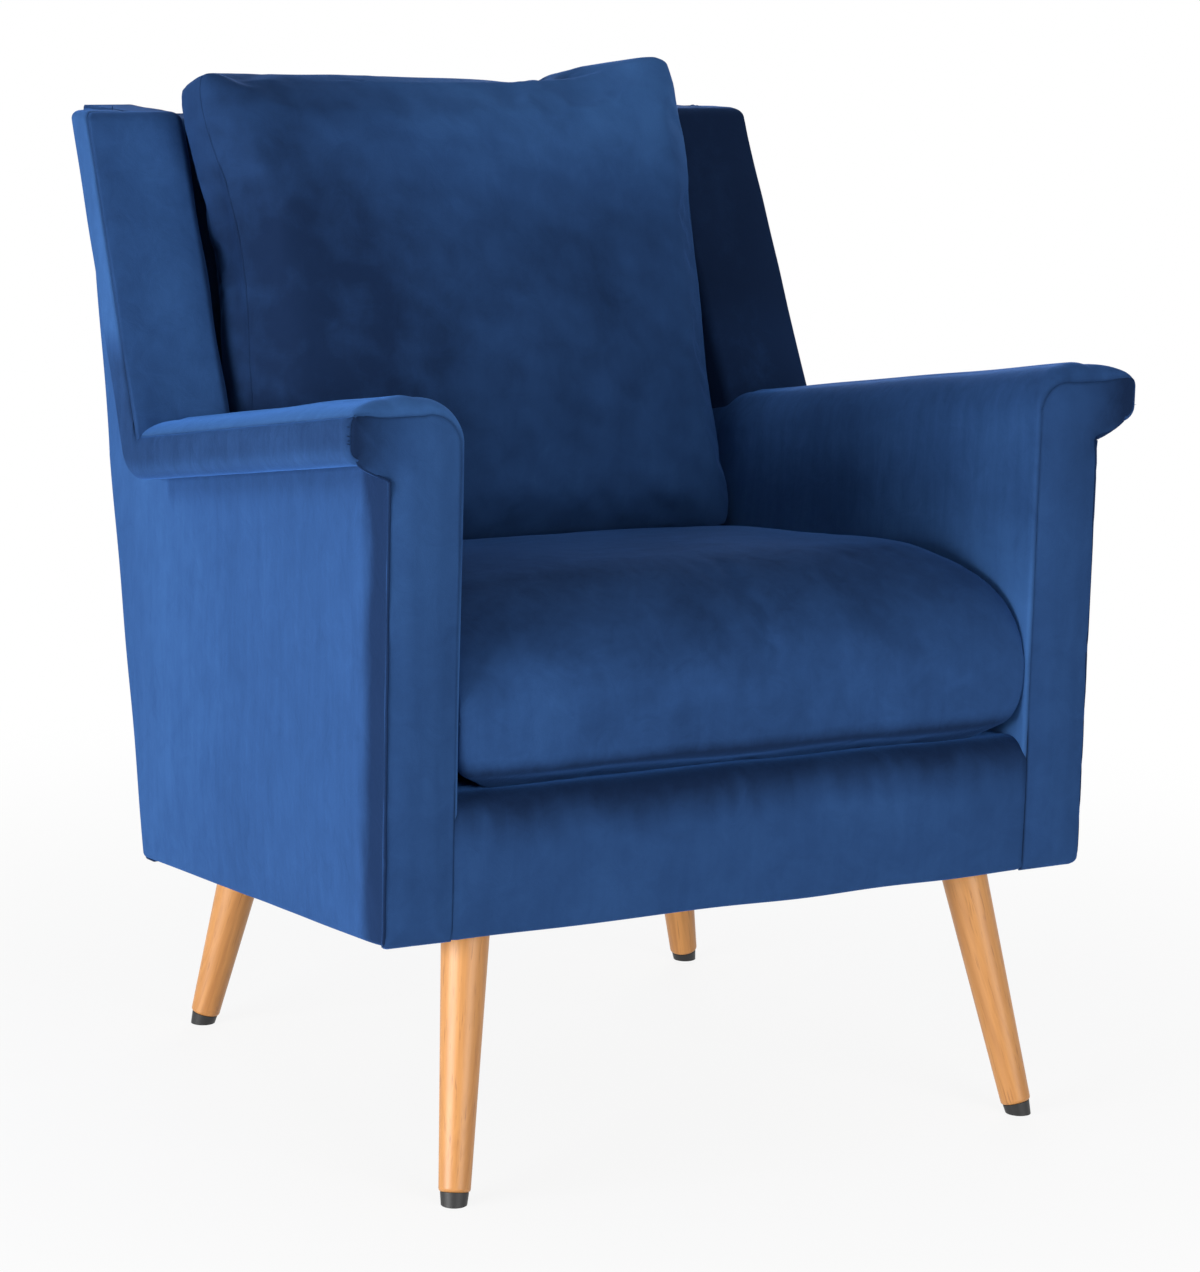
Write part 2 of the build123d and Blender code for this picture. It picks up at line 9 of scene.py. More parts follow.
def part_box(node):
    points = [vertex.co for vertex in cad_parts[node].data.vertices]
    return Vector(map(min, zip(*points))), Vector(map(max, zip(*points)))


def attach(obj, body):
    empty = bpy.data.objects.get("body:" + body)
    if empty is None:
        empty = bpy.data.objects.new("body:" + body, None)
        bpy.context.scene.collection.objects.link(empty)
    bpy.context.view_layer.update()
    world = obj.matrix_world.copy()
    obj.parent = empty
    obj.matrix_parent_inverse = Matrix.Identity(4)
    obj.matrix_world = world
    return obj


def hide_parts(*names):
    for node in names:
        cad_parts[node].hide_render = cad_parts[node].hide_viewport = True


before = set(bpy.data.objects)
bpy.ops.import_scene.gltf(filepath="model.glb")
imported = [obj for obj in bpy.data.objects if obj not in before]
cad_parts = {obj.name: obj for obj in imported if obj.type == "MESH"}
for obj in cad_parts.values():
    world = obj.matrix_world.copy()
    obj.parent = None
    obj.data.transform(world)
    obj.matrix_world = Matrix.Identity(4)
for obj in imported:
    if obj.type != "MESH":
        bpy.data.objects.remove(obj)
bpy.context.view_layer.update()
scene = bpy.context.scene
print("frame loaded:", len(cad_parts), "nodes")

# lines of the chair in metres, as in the CAD: it faces -Y, left is -X seen from the front
chair = {
    "frontY": -0.3495, "rearTopY": 0.3725, "halfFront": 0.330, "toeIn": 3.0,
    "bottomFront": 0.211, "deckFront": 0.325, "seatTilt": 6.1,
    "armFront": 0.641, "armSlope": 9.7, "wingTop": 0.816, "backTop": 0.807,
    "wingTopDepth": 0.125, "wingRecline": 25.9, "rearRecline": 14.2, "backThick": 0.092,
    "sideThick": 0.063, "wingThick": 0.055, "flangeOut": 0.0375, "flangeHigh": 0.050, "flangeDeep": 0.046,
}
frontY, wingTop, backTop = (chair[k] for k in ("frontY", "wingTop", "backTop"))
sideThick, wingThick, backThick = (chair[k] for k in ("sideThick", "wingThick", "backThick"))
flangeOut, flangeHigh, flangeDeep = (chair[k] for k in ("flangeOut", "flangeHigh", "flangeDeep"))
bothSides = ((1, "right"), (-1, "left"))


def slope(name):  # tangent of one of the chair's angles
    return math.tan(math.radians(chair[name]))


def flat(name):  # its cosine
    return math.cos(math.radians(chair[name]))


def steep(name):  # its sine
    return math.sin(math.radians(chair[name]))


def outerX(y):  # outer face of the right side, closing in towards the back
    return chair["halfFront"] - (y - frontY) * slope("toeIn")


def sideRoom(y):  # inner face of the right arm
    return outerX(y) - sideThick


def bottomZ(y):  # underside of the body, falling towards the back
    return chair["bottomFront"] - (y - frontY) * slope("seatTilt")


def deckZ(y):  # deck under the seat cushion, in line with the underside
    return chair["deckFront"] - (y - frontY) * slope("seatTilt")


def armZ(y, drop=0.0):  # arm top line, lowered square to itself by drop
    return chair["armFront"] - drop / flat("armSlope") - (y - frontY) * slope("armSlope")


def wingY(z, inset=0.0):  # front line of the wing, moved back square to itself by inset
    return chair["rearTopY"] - chair["wingTopDepth"] + inset / flat("wingRecline") \
        - (wingTop - z) * slope("wingRecline")


def rearY(z, inset=0.0):  # rear line of the body, moved forward by inset
    return chair["rearTopY"] - inset / flat("rearRecline") - (wingTop - z) * slope("rearRecline")


def wingMeetsArm(drop=0.0, inset=0.0):  # where the lowered arm line crosses the moved wing line
    a, b = armZ(0.0, drop), slope("armSlope")
    c, d = wingY(0.0, inset), slope("wingRecline")
    z = (a - b * c) / (1 + b * d)
    return c + d * z, z


rootY, rootZ = wingMeetsArm()


# helpers for arrays and meshes
def steps(count):  # even shares from 0 to 1
    return np.linspace(0, 1, count)


def turning(start, end, count):  # even angles, given in degrees
    return np.radians(np.linspace(start, end, count))


def spots(*parts):  # coordinates side by side, spread to one shape
    return np.stack(np.broadcast_arrays(*parts), -1)


def smoothStep(x, low, high):  # 0 below low, 1 above high, an S-curve between
    t = np.clip((x - low) / (high - low), 0, 1)
    return t * t * (3 - 2 * t)


def bell(x, width):  # 1 at 0, falling off on both sides within the width
    return np.exp(-(x / width) ** 2)


def waves(points, seed, length, count=7):
    # sum of sine waves with seeded directions and phases: a soft uneven field of about -1 to 1
    rng = np.random.default_rng(seed)
    total = np.zeros(points.shape[:-1])
    for _ in range(count):
        way = rng.normal(size=3)
        way *= 2 * math.pi / (length * rng.uniform(0.7, 1.5)) / np.linalg.norm(way)
        total = total + np.sin(points @ way + rng.uniform(0, 2 * math.pi))
    return total / math.sqrt(count)


def swollen(p, inside, swell, seam=0.0, sink=0.0):
    # a grid moved along its normals, which point away from the inner points: out by the swell, in along its seams
    n = np.cross(np.gradient(p, axis=0), np.gradient(p, axis=1))
    n = n / np.maximum(np.linalg.norm(n, axis=-1, keepdims=True), 1e-12)
    n = n * np.sign(np.sum(n * (p - inside)))
    return p + n * (swell * (1 - seam) - sink * seam)[..., None]


def edgeDistance(p, *edges):
    # arc length along the grid to the nearest of the named edges: u0, u1, v0, v1
    du, dv = (np.insert(np.linalg.norm(np.diff(p, axis=k), axis=-1).cumsum(axis=k), 0, 0, axis=k) for k in (0, 1))
    runs = {"u0": du, "u1": du[-1:] - du, "v0": dv, "v1": dv[:, -1:] - dv}
    return np.min([runs[e] for e in edges], axis=0)


def rounded(edge, inward, onward, angles, axis=0):
    # lines that turn a corner from an edge: inward by 1 - cosine, onward by the sine
    a = angles[:, None, None]
    return np.moveaxis(edge + np.array(inward) * (1 - np.cos(a)) + np.array(onward) * np.sin(a), 0, axis)


def gridFaces(nu, nv, start=0):
    i = np.arange(nu * nv).reshape(nu, nv) + start
    return np.stack([i[:-1, :-1], i[1:, :-1], i[1:, 1:], i[:-1, 1:]], -1).reshape(-1, 4)


def pointsOf(mesh, key="co"):
    values = np.empty(len(mesh.vertices) * 3)
    mesh.vertices.foreach_get(key, values)
    return values.reshape(-1, 3)


def setValues(mesh, key, data):
    mesh.attributes.new(key, "FLOAT", "POINT").data.foreach_set("value", np.asarray(data, np.float32).ravel())


def smoothShade(mesh):
    mesh.polygons.foreach_set("use_smooth", np.ones(len(mesh.polygons), bool))
    mesh.update()


def meshFrom(name, verts, faces, seam=None):
    mesh = bpy.data.meshes.new(name)
    mesh.from_pydata(verts.tolist(), [], faces.tolist())
    if seam is not None:
        setValues(mesh, "seam", seam)
    mesh.update()
    piece = bpy.data.objects.new(name, mesh)
    scene.collection.objects.link(piece)
    return piece


def weld(piece, gap, inside):
    # doubles merged, faces made to agree, and turned to point away from the inner points
    bm = bmesh.new()
    bm.from_mesh(piece.data)
    bmesh.ops.remove_doubles(bm, verts=bm.verts, dist=gap)
    bmesh.ops.dissolve_degenerate(bm, edges=bm.edges, dist=gap / 10)
    bmesh.ops.recalc_face_normals(bm, faces=bm.faces)
    centres = [(f, f.calc_center_median()) for f in bm.faces]
    if sum(f.normal.dot(c - Vector(inside(c))) * f.calc_area() for f, c in centres) < 0:
        bmesh.ops.reverse_faces(bm, faces=bm.faces)
    bm.to_mesh(piece.data)
    bm.free()
    smoothShade(piece.data)


def joinedGrids(name, grids, inside, gap, seams=None):
    # one or more grids made one mesh and merged where they meet
    starts = np.cumsum([0] + [g.shape[0] * g.shape[1] for g in grids])
    faces = np.concatenate([gridFaces(*g.shape[:2], s) for g, s in zip(grids, starts)])
    seam = None if seams is None else np.concatenate([s.ravel() for s in seams])
    piece = meshFrom(name, np.concatenate([g.reshape(-1, 3) for g in grids]), faces, seam)
    weld(piece, gap, inside)
    return piece


def thicken(piece, thickness):  # a cloth's thickness, inwards
    wall = piece.modifiers.new("cloth", "SOLIDIFY")
    wall.thickness, wall.offset = thickness, -1


def seamMark(distance, width=0.004):  # 1 on a seam, 0 away from it
    return bell(distance, width)


def mirrored(p, side):
    return p * np.array([side, 1, 1])


def insideSide(side):
    # a point in the middle of the padding, level with the point given
    def inner(p):
        y = min(max(p[1], frontY + 0.03), 0.30)
        z = min(p[2], 0.80)
        if z > armZ(y, 0.03):
            y = min(max(y, wingY(z, 0.03)), rearY(z, 0.02))
        return side * (outerX(y) - 0.025), y, min(z, armZ(y, 0.03)) if y < rootY else z
    return inner


# materials
def wire(tree, target, inputs):
    # each input named gets a link from an output, or a fixed value
    for key, value in inputs.items():
        if isinstance(value, bpy.types.NodeSocket):
            tree.links.new(value, target.inputs[key])
        else:
            target.inputs[key].default_value = value


def node(tree, kind, inputs=None, out=0, **settings):
    # a new shader node, set out to the right of the last one; gives the output asked for
    n = tree.nodes.new("ShaderNode" + kind)
    n.location = 200 * (len(tree.nodes) - 16), 0
    for key, value in settings.items():
        setattr(n, key, value)
    wire(tree, n, inputs or {})
    return n.outputs[out]


def newMaterial(name):
    material = bpy.data.materials.new(name)
    material.use_nodes = True
    return material, material.node_tree, material.node_tree.nodes["Principled BSDF"]


def placed(tree, **mapping):  # the piece's own coordinates, moved or stretched
    place = node(tree, "TexCoord", out="Object")
    return node(tree, "Mapping", {"Vector": place, **mapping}) if mapping else place


def noise(tree, vector, scale, detail, roughness, distortion=0.0):
    return node(tree, "TexNoise", {"Vector": vector, "Scale": scale, "Detail": detail, "Roughness": roughness,
                                   "Distortion": distortion}, "Fac")


def mapped(tree, value, toLow, toHigh, fromLow=0.0, fromHigh=1.0, **settings):
    return node(tree, "MapRange", {"Value": value, "From Min": fromLow, "From Max": fromHigh,
                                   "To Min": toLow, "To Max": toHigh}, "Result", **settings)


def blended(tree, first, second, share, **settings):
    return node(tree, "Mix", {"Factor": share, "A": first, "B": second}, "Result", **settings)


def bumped(tree, height, strength, distance, **more):
    return node(tree, "Bump", {"Height": height, "Strength": strength, "Distance": distance, **more})


def ramp(tree, source, stops):
    colour = node(tree, "ValToRGB", {"Fac": source}, "Color")
    elements = colour.node.color_ramp.elements
    while len(elements) < len(stops):
        elements.new(0.5)
    for element, (place, tint) in zip(elements, stops):
        element.position, element.color = place, (*tint, 1)
    return colour


velvetLook = {
    "dark": (0.0062, 0.0195, 0.062), "mid": (0.0215, 0.0660, 0.192), "light": (0.0440, 0.130, 0.345),
    "sheen": 0.40, "sheenTint": (0.10, 0.33, 1.0), "sheenRough": 0.40, "rough": 0.86, "gloss": 0.08,
    # scale, detail, roughness and distortion of each noise
    "broad": (6.5, 5.0, 0.62, 0.7), "streaks": (95.0, 4.0, 0.6, 0.25), "crush": (38.0, 5.0, 0.66, 0.9),
    "pile": (1500.0, 2.0, 0.6), "streakStretch": (1.0, 1.0, 0.12), "crushShare": 0.30, "pileShare": 0.16,
    "contrast": 0.12, "roughUp": 0.1, "roughDown": 0.08, "seamDark": 0.5,
    "napBump": (0.18, 0.004), "pileBump": (0.25, 0.0006),  # strength and distance
}


def velvet(name, paintedLightTone, streak, patch, seed, sheen=velvetLook["sheen"]):
    # brushed pile: broad patches where the nap lies differently, fine streaks along the nap, and the grain of the pile
    look = velvetLook
    material, tree, shader = newMaterial(name)
    shift = placed(tree, Location=(seed, seed * 0.7, seed * 1.3))
    stretch = placed(tree, Location=(seed, 0, seed), Scale=look["streakStretch"])
    crush, pile = noise(tree, shift, *look["crush"]), noise(tree, placed(tree), *look["pile"])
    field = blended(tree, noise(tree, shift, *look["broad"]), noise(tree, stretch, *look["streaks"]), streak)
    field = blended(tree, field, crush, look["crushShare"])
    field = blended(tree, field, pile, look["pileShare"])
    spread = mapped(tree, field, 0.0, 1.0, 0.5 - look["contrast"] / patch, 0.5 + look["contrast"] / patch)
    # the attribute read here carries each piece's painted light and shade, with some uneven pile tone, added to the
    # patches
    brushedAndShaded = node(tree, "Attribute", out="Fac", attribute_name="nap")
    laidAndShaded = node(tree, "Math", {0: spread, 1: brushedAndShaded}, operation="ADD", use_clamp=True)
    # the tone scales this copy lighter or darker as painted light and shade
    dark, mid, light = (tuple(c * paintedLightTone for c in look[k]) for k in ("dark", "mid", "light"))
    colour = ramp(tree, laidAndShaded, [(0.0, dark), (0.5, mid), (1.0, light)])
    # the second attribute darkens towards the deep colour: dark seams, partly as painted shade in them, and on some
    # pieces painted shade over whole faces
    seam = node(tree, "Attribute", out="Fac", attribute_name="seam")
    deep = (*(c * look["seamDark"] for c in dark), 1)
    napBump = bumped(tree, crush, *look["napBump"])
    wire(tree, shader, {
        "Base Color": blended(tree, colour, deep, seam, data_type="RGBA"),
        "Roughness": mapped(tree, spread, look["rough"] + look["roughUp"], look["rough"] - look["roughDown"]),
        "Normal": bumped(tree, pile, *look["pileBump"], Normal=napBump),
        "Specular IOR Level": look["gloss"], "Sheen Weight": sheen,
        "Sheen Roughness": look["sheenRough"], "Sheen Tint": (*look["sheenTint"], 1),
    })
    return material


legLook = {"pale": (0.60, 0.275, 0.080), "mid": (0.46, 0.195, 0.052), "dark": (0.21, 0.072, 0.016), "rough": 0.42,
           "coat": 0.12, "coatRough": 0.25, "shade": (0.80, 0.74, 0.66), "shadeShare": 0.5, "poreShare": 0.55,
           "rings": (70.0, 4.0, 0.55, 0.8), "clouds": (24.0, 2.0, 0.5), "flecks": (520.0, 2.0, 0.55),
           "ringCentre": (0.35, 0.1, 0.0), "ringStretch": (1.0, 1.0, 0.06), "fleckStretch": (1.0, 1.0, 0.045),
           "poreBump": (0.12, 0.0006)}
black, white = (0.0, 0.0, 0.0), (1.0, 1.0, 1.0)


def legWood(name, axis, centre):
    # honey hardwood: rings cut lengthwise by a turned leg, short pore flecks, and a clear satin coat
    look = legLook
    material, tree, shader = newMaterial(name)
    along = node(tree, "Mapping", vector_type="TEXTURE", inputs={
        "Vector": placed(tree), "Location": centre, "Rotation": tuple(Vector(axis).to_track_quat("Z", "Y").to_euler())})
    ringMap = node(tree, "Mapping", {"Vector": along, "Location": look["ringCentre"], "Scale": look["ringStretch"]})
    fleckMap = node(tree, "Mapping", {"Vector": along, "Scale": look["fleckStretch"]})
    rings = noise(tree, ringMap, *look["rings"])
    base = ramp(tree, rings, [(0.30, look["mid"]), (0.52, look["pale"]), (0.70, look["mid"])])
    shade = ramp(tree, noise(tree, ringMap, *look["clouds"]), [(0.3, look["shade"]), (0.7, white)])
    tint = blended(tree, base, shade, look["shadeShare"], data_type="RGBA", blend_type="MULTIPLY")
    pores = ramp(tree, noise(tree, fleckMap, *look["flecks"]), [(0.60, black), (0.74, white)])
    share = node(tree, "Math", {0: pores, 1: look["poreShare"]}, operation="MULTIPLY")
    bump = bumped(tree, pores, *look["poreBump"])
    bump.node.invert = True
    wire(tree, shader, {
        "Base Color": blended(tree, tint, (*look["dark"], 1), share, data_type="RGBA"),
        "Roughness": mapped(tree, rings, look["rough"] - 0.05, look["rough"] + 0.12), "Normal": bump,
        "Coat Weight": look["coat"], "Coat Roughness": look["coatRough"],
    })
    return material


def speckled(name, colour, rough, metal=0.0, grain=900.0, spread=0.35, depth=0.0004, stretch=(1.0, 1.0, 1.0)):
    # an even finish with a fine grain in colour, gloss and relief
    material, tree, shader = newMaterial(name)
    fine = noise(tree, placed(tree, Scale=stretch), grain, 4.0, 0.6)
    low, high = (tuple(min(c * share, 1.0) for c in colour) for share in (1 - spread, 1 + spread))
    wire(tree, shader, {
        "Base Color": ramp(tree, fine, [(0.3, low), (0.7, high)]),
        "Roughness": mapped(tree, fine, max(rough - 0.08, 0.05), min(rough + 0.08, 1.0)),
        "Normal": bumped(tree, fine, 0.3, depth), "Metallic": metal,
    })
    return material


# one velvet cloth in copies: each copy's tone makes it lighter or darker as painted light and shade, the side lightest
# and the arm fronts and rail darkest
finishes = {
    "side": velvet("velvetSide", paintedLightTone=1.12, streak=0.40, patch=0.22, seed=1.7),
    "front": velvet("velvetFront", paintedLightTone=0.84, streak=0.25, patch=0.22, seed=4.1),
    "arm": velvet("velvetArm", paintedLightTone=0.95, streak=0.40, patch=0.30, seed=7.3),
    "band": velvet("velvetBand", paintedLightTone=0.95, streak=0.4, patch=0.30, seed=2.9),
    "wing": velvet("velvetWing", paintedLightTone=1.0, streak=0.3, patch=0.26, seed=9.2),
    "back": velvet("velvetBack", paintedLightTone=0.9, streak=0.35, patch=0.25, seed=5.5),
    "seatCushion": velvet("velvetSeatCushion", paintedLightTone=0.95, streak=0.2, patch=0.30, sheen=0.22, seed=3.3),
    "backCushion": velvet("velvetBackCushion", paintedLightTone=0.9, streak=0.2, patch=0.22, sheen=0.26, seed=6.4),
    "glide": speckled("glidePlastic", (0.007, 0.007, 0.0075), 0.5, grain=700.0, depth=0.0003),
    "steel": speckled("zincSteel", (0.55, 0.55, 0.53), 0.38, metal=1.0, grain=300.0, spread=0.12, depth=0.0001),
    "dust": speckled("dustCloth", (0.018, 0.018, 0.019), 0.92, grain=650.0, spread=0.6, depth=0.0008),
    "timber": speckled("frameTimber", (0.52, 0.36, 0.20), 0.7, grain=120.0, spread=0.2, stretch=(1, 0.2, 1)),
    "board": speckled("hardboard", (0.24, 0.15, 0.085), 0.75, grain=500.0, spread=0.3),
    "webbing": speckled("elasticWebbing", (0.03, 0.028, 0.026), 0.85, grain=420.0, spread=0.5),
}


def dress(piece, finish, replaced, body="body", nap=None):
    # the last argument: how much lighter or darker each point is painted, mostly as painted light and shade with some
    # uneven pile tone, below 0 darker and above 0 lighter
    piece.data.materials.clear()
    piece.data.materials.append(finishes[finish])
    if nap:
        setValues(piece.data, "nap", nap(pointsOf(piece.data)))
    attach(piece, body)
    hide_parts(*replaced)


def makeCover(name, shape, inside, finish, nap, fill, replaced, thickness=0.003, gap=0.0004):
    # grids and seam marks made a cloth cover over its padding
    grids, seams = shape
    piece = joinedGrids(name, grids, inside, gap, seams)
    thicken(piece, thickness)
    dress(piece, finish, replaced, nap=nap)


print("materials made")

# sides: arm, wing, band, outside and front panels, made on the right and mirrored
armShape = {"rollWide": 0.041, "rollHigh": 0.021, "innerRound": 0.036, "dome": 0.002, "topRound": 0.024,
            "seamDrop": 0.0155, "sideRound": 0.006, "innerEdge": 0.005, "seamTurn": 70.0, "swell": 0.004,
            "pastRoot": 0.034, "belowDeck": 0.030, "along": 70}
wingShape = {"innerRound": 0.009, "topRound": 0.008, "crown": 0.002, "ridge": 0.003, "fall": 0.006, "bulge": 0.0025}
bandShape = {"armRound": (0.041, 0.021, 0.013), "wingRound": (0.004, 0.004, 0.009), "turnRound": 0.030, "root": 0.004}
rollTurn = 65.0  # where on the roll's round the band is sewn on, from the top
sideRound, seamTurn = armShape["sideRound"], armShape["seamTurn"]
seamSink = 0.0009  # how deep the cloth is drawn in along a seam


def armProfile(draw):
    # arm top in section: outer round from the band's seam, a low dome, the inner round; (depth in, drop) pairs,
    # drawn down at the front to a level seam
    wide, high, q, seamDrop = (armShape[k] for k in ("rollWide", "rollHigh", "innerRound", "seamDrop"))
    share = draw / (1 - math.cos(math.radians(seamTurn)))
    turn = turning(rollTurn, 0, 10)
    drop = high - high * np.cos(turn)
    level = drop[0] + (seamDrop - drop[0]) * smoothStep(steps(10), 0, 1)
    a = spots(wide - flangeOut - (wide - sideRound * draw) * np.sin(turn), drop + (level - drop) * share)
    t = steps(16)[1:]
    drop = -armShape["dome"] * np.sin(math.pi * t) ** 1.2
    b = spots(wide - flangeOut + (sideThick - q + flangeOut - wide) * t, drop + (seamDrop - drop) * share)
    turn = turning(0, 90, 18)[1:]
    less = seamDrop * share + (armShape["innerEdge"] * draw - seamDrop * share) * steps(17)
    c = spots(sideThick - q + (q - less) * np.sin(turn), q - (q - less) * np.cos(turn))
    return np.concatenate([a, b, c])


def armCover(side, seed):
    # section carried from the front seam over its rounded edge and back; the inner face runs on down to the deck
    turns = turning(seamTurn, 0, 9)
    downs = steps(36)[1:]
    r = armShape["topRound"]
    edge = np.concatenate([np.linspace(sideRound, r, 10), np.full(15, r), np.linspace(r, armShape["innerEdge"], 17)])
    topEnd = rootY + armShape["pastRoot"]
    ends = topEnd + (rearY(0.5, 0.07) - topEnd) * smoothStep(np.arange(len(edge)), 26, len(edge) - 1)
    rows = []
    for k in range(len(turns) + armShape["along"]):
        turn = turns[min(k, len(turns) - 1)]
        dh = armProfile(1 - math.cos(turn))
        start = frontY + edge * (1 - math.sin(turn))
        y = start + (ends - start) * max(0, k - len(turns) + 1) / armShape["along"]
        top = spots(outerX(y) - dh[:, 0], y, armZ(y, dh[:, 1]))
        x, yLow, z = top[-1]
        rows.append(np.concatenate([top, spots(x, yLow, z + (deckZ(yLow) - armShape["belowDeck"] - z) * downs)]))
    p = np.array(rows)
    y = p[..., 1]
    seam = seamMark(edgeDistance(p, "u0", "v0"), 0.003)
    faceShare = np.concatenate([np.zeros(len(edge)), np.sin(math.pi * downs)])
    swell = armShape["swell"] * faceShare * smoothStep(y, frontY, frontY + 0.09) + 0.0005 * waves(p, seed, 0.14)
    inner = spots(outerX(y) - 0.02, y, np.minimum(p[..., 2], armZ(y, 0.04)))
    return [mirrored(swollen(p, inner, swell, seam, 0.0010), side)], [0.5 * seam]


def bandSection(rounds, width, inSide=0.0):
    # band in section, (distance across, stand-out) pairs: seam on the top, round, outer face, round, underside, body
    wide, high, low = rounds
    turn = turning(rollTurn, 90, 7)
    a = spots(high - high * np.cos(turn), flangeOut - wide + (wide - inSide) * np.sin(turn))
    turn = turning(90, 180, 14)
    c = spots(width - low - (low - inSide) * np.cos(turn), flangeOut - low + (low - inSide) * np.sin(turn))
    b = a[-1] + (c[0] - a[-1]) * steps(9)[1:-1, None]
    d = c[-1] + (np.array([width - inSide, -0.002]) - c[-1]) * steps(8)[1:, None]
    return np.concatenate([a, b, c, d])


def drawnIn(d, inset):  # depth in, drawn towards the middle of the wing's thickness
    half = (wingThick + flangeOut) / 2
    mid = wingThick - half
    return mid + (d - mid) * (1 - inset / half)


def wingRows(low, count):
    # heights up the wing with the inset of its rounded top: (height, inset) pairs
    r = wingShape["topRound"]
    over = [(wingTop - r + r * math.sin(a), r * (1 - math.cos(a))) for a in turning(0, 90, 8)[1:]]
    return [(z, 0.0) for z in np.linspace(low, wingTop - r, count)] + over


def fallBack(p):  # the wing's top falls a little towards the back
    share = smoothStep(p[..., 2], wingTop - 0.05, wingTop)
    p[..., 2] -= wingShape["fall"] * np.clip(p[..., 1] - wingY(wingTop, 0.006), 0, 1) * share
    return p


def capRows(last, rear):
    # flat top closed from the last row to a line along the wing
    y = np.clip(last[:, 1], wingY(wingTop, 0.014), rear)
    end = spots(outerX(y) - wingShape["ridge"], y, last[:, 2])
    return [last + (end - last) * t for t in steps(7)[1:]]


def bandCover(side, seed):
    # section carried along the arm's edge, round the corner at the wing's root and up the wing's edge
    onArm, onWing, turnR, gap = (bandShape[k] for k in ("armRound", "wingRound", "turnRound", "root"))
    armDir = np.array([-flat("armSlope"), steep("armSlope")])
    wingDir = np.array([steep("wingRecline"), flat("wingRecline")])
    corner, root = np.array(wingMeetsArm(flangeHigh, flangeDeep)), np.array([rootY, rootZ])
    half = math.acos(np.clip(armDir @ wingDir, -1, 1)) / 2
    reach = turnR / math.tan(half)
    centre = corner + (armDir + wingDir) / np.linalg.norm(armDir + wingDir) * turnR / math.sin(half)
    start, end = corner + armDir * reach, corner + wingDir * reach
    lines = []  # upper and lower point, rounds, width and how far the front edge is drawn in
    for turn in turning(seamTurn, 0, 9):  # front end, rounded over
        y = frontY + sideRound * (1 - math.sin(turn))
        lines.append(((y, armZ(y)), (y, armZ(y, flangeHigh)), onArm, flangeHigh, 1 - math.cos(turn)))
    front = frontY + sideRound
    for t in steps(46)[1:]:
        ya, yb = front + (rootY - gap - front) * t, front + (start[0] - front) * t
        lines.append(((ya, armZ(ya)), (yb, armZ(yb, flangeHigh)), onArm, flangeHigh, 0.0))
    a0, a1 = (math.atan2(*(p - centre)[::-1]) for p in (start, end))
    for t in steps(18)[1:]:
        ease = smoothStep(t, 0, 1)
        a = a0 + (a1 - a0) * t
        rounds = [m + (n - m) * ease for m, n in zip(onArm, onWing)]
        lines.append((root + (armDir * (1 - t) + wingDir * t) * gap,
                      centre + turnR * np.array([math.cos(a), math.sin(a)]),
                      rounds, flangeHigh + (flangeDeep - flangeHigh) * ease, 0.0))
    zTop = wingTop - wingShape["topRound"]
    for t in steps(34)[1:]:
        za, zb = rootZ + gap + (zTop - rootZ - gap) * t, end[1] + (zTop - end[1]) * t
        lines.append(((wingY(za), za), (wingY(zb, flangeDeep), zb), onWing, flangeDeep, 0.0))
    rows = []
    for a, b, rounds, width, draw in lines:
        we = bandSection(rounds, width, sideRound * draw)
        y, z = (np.array(a) + (np.array(b) - a) * (we[:, :1] / width)).T
        rows.append(spots(outerX(y) + we[:, 1], y, z))
    we = bandSection(onWing, flangeDeep)
    for z, inset in wingRows(zTop, 1)[1:]:
        y = wingY(z, inset + we[:, 0] * (1 - 2 * inset / flangeDeep))
        rows.append(spots(outerX(y) - drawnIn(-we[:, 1], inset), y, z))
    p = np.array(rows + capRows(rows[-1], wingY(wingTop, flangeDeep)))
    face = 16  # column on the outer face
    inner = p[:, face:face + 1] * 0.35 + p[:, :1] * 0.3 + p[:, -1:] * 0.35
    top, front = (seamMark(edgeDistance(p, e), 0.0022) for e in ("v0", "u0"))
    seam = np.maximum(1.5 * top, 0.25 * front)
    swell = 0.0004 * waves(p, seed, 0.09) * smoothStep(edgeDistance(p, "v1", "u1"), 0, 0.04)
    return [mirrored(fallBack(swollen(p, inner, swell, seam, seamSink)), side)], [0.5 * seam]


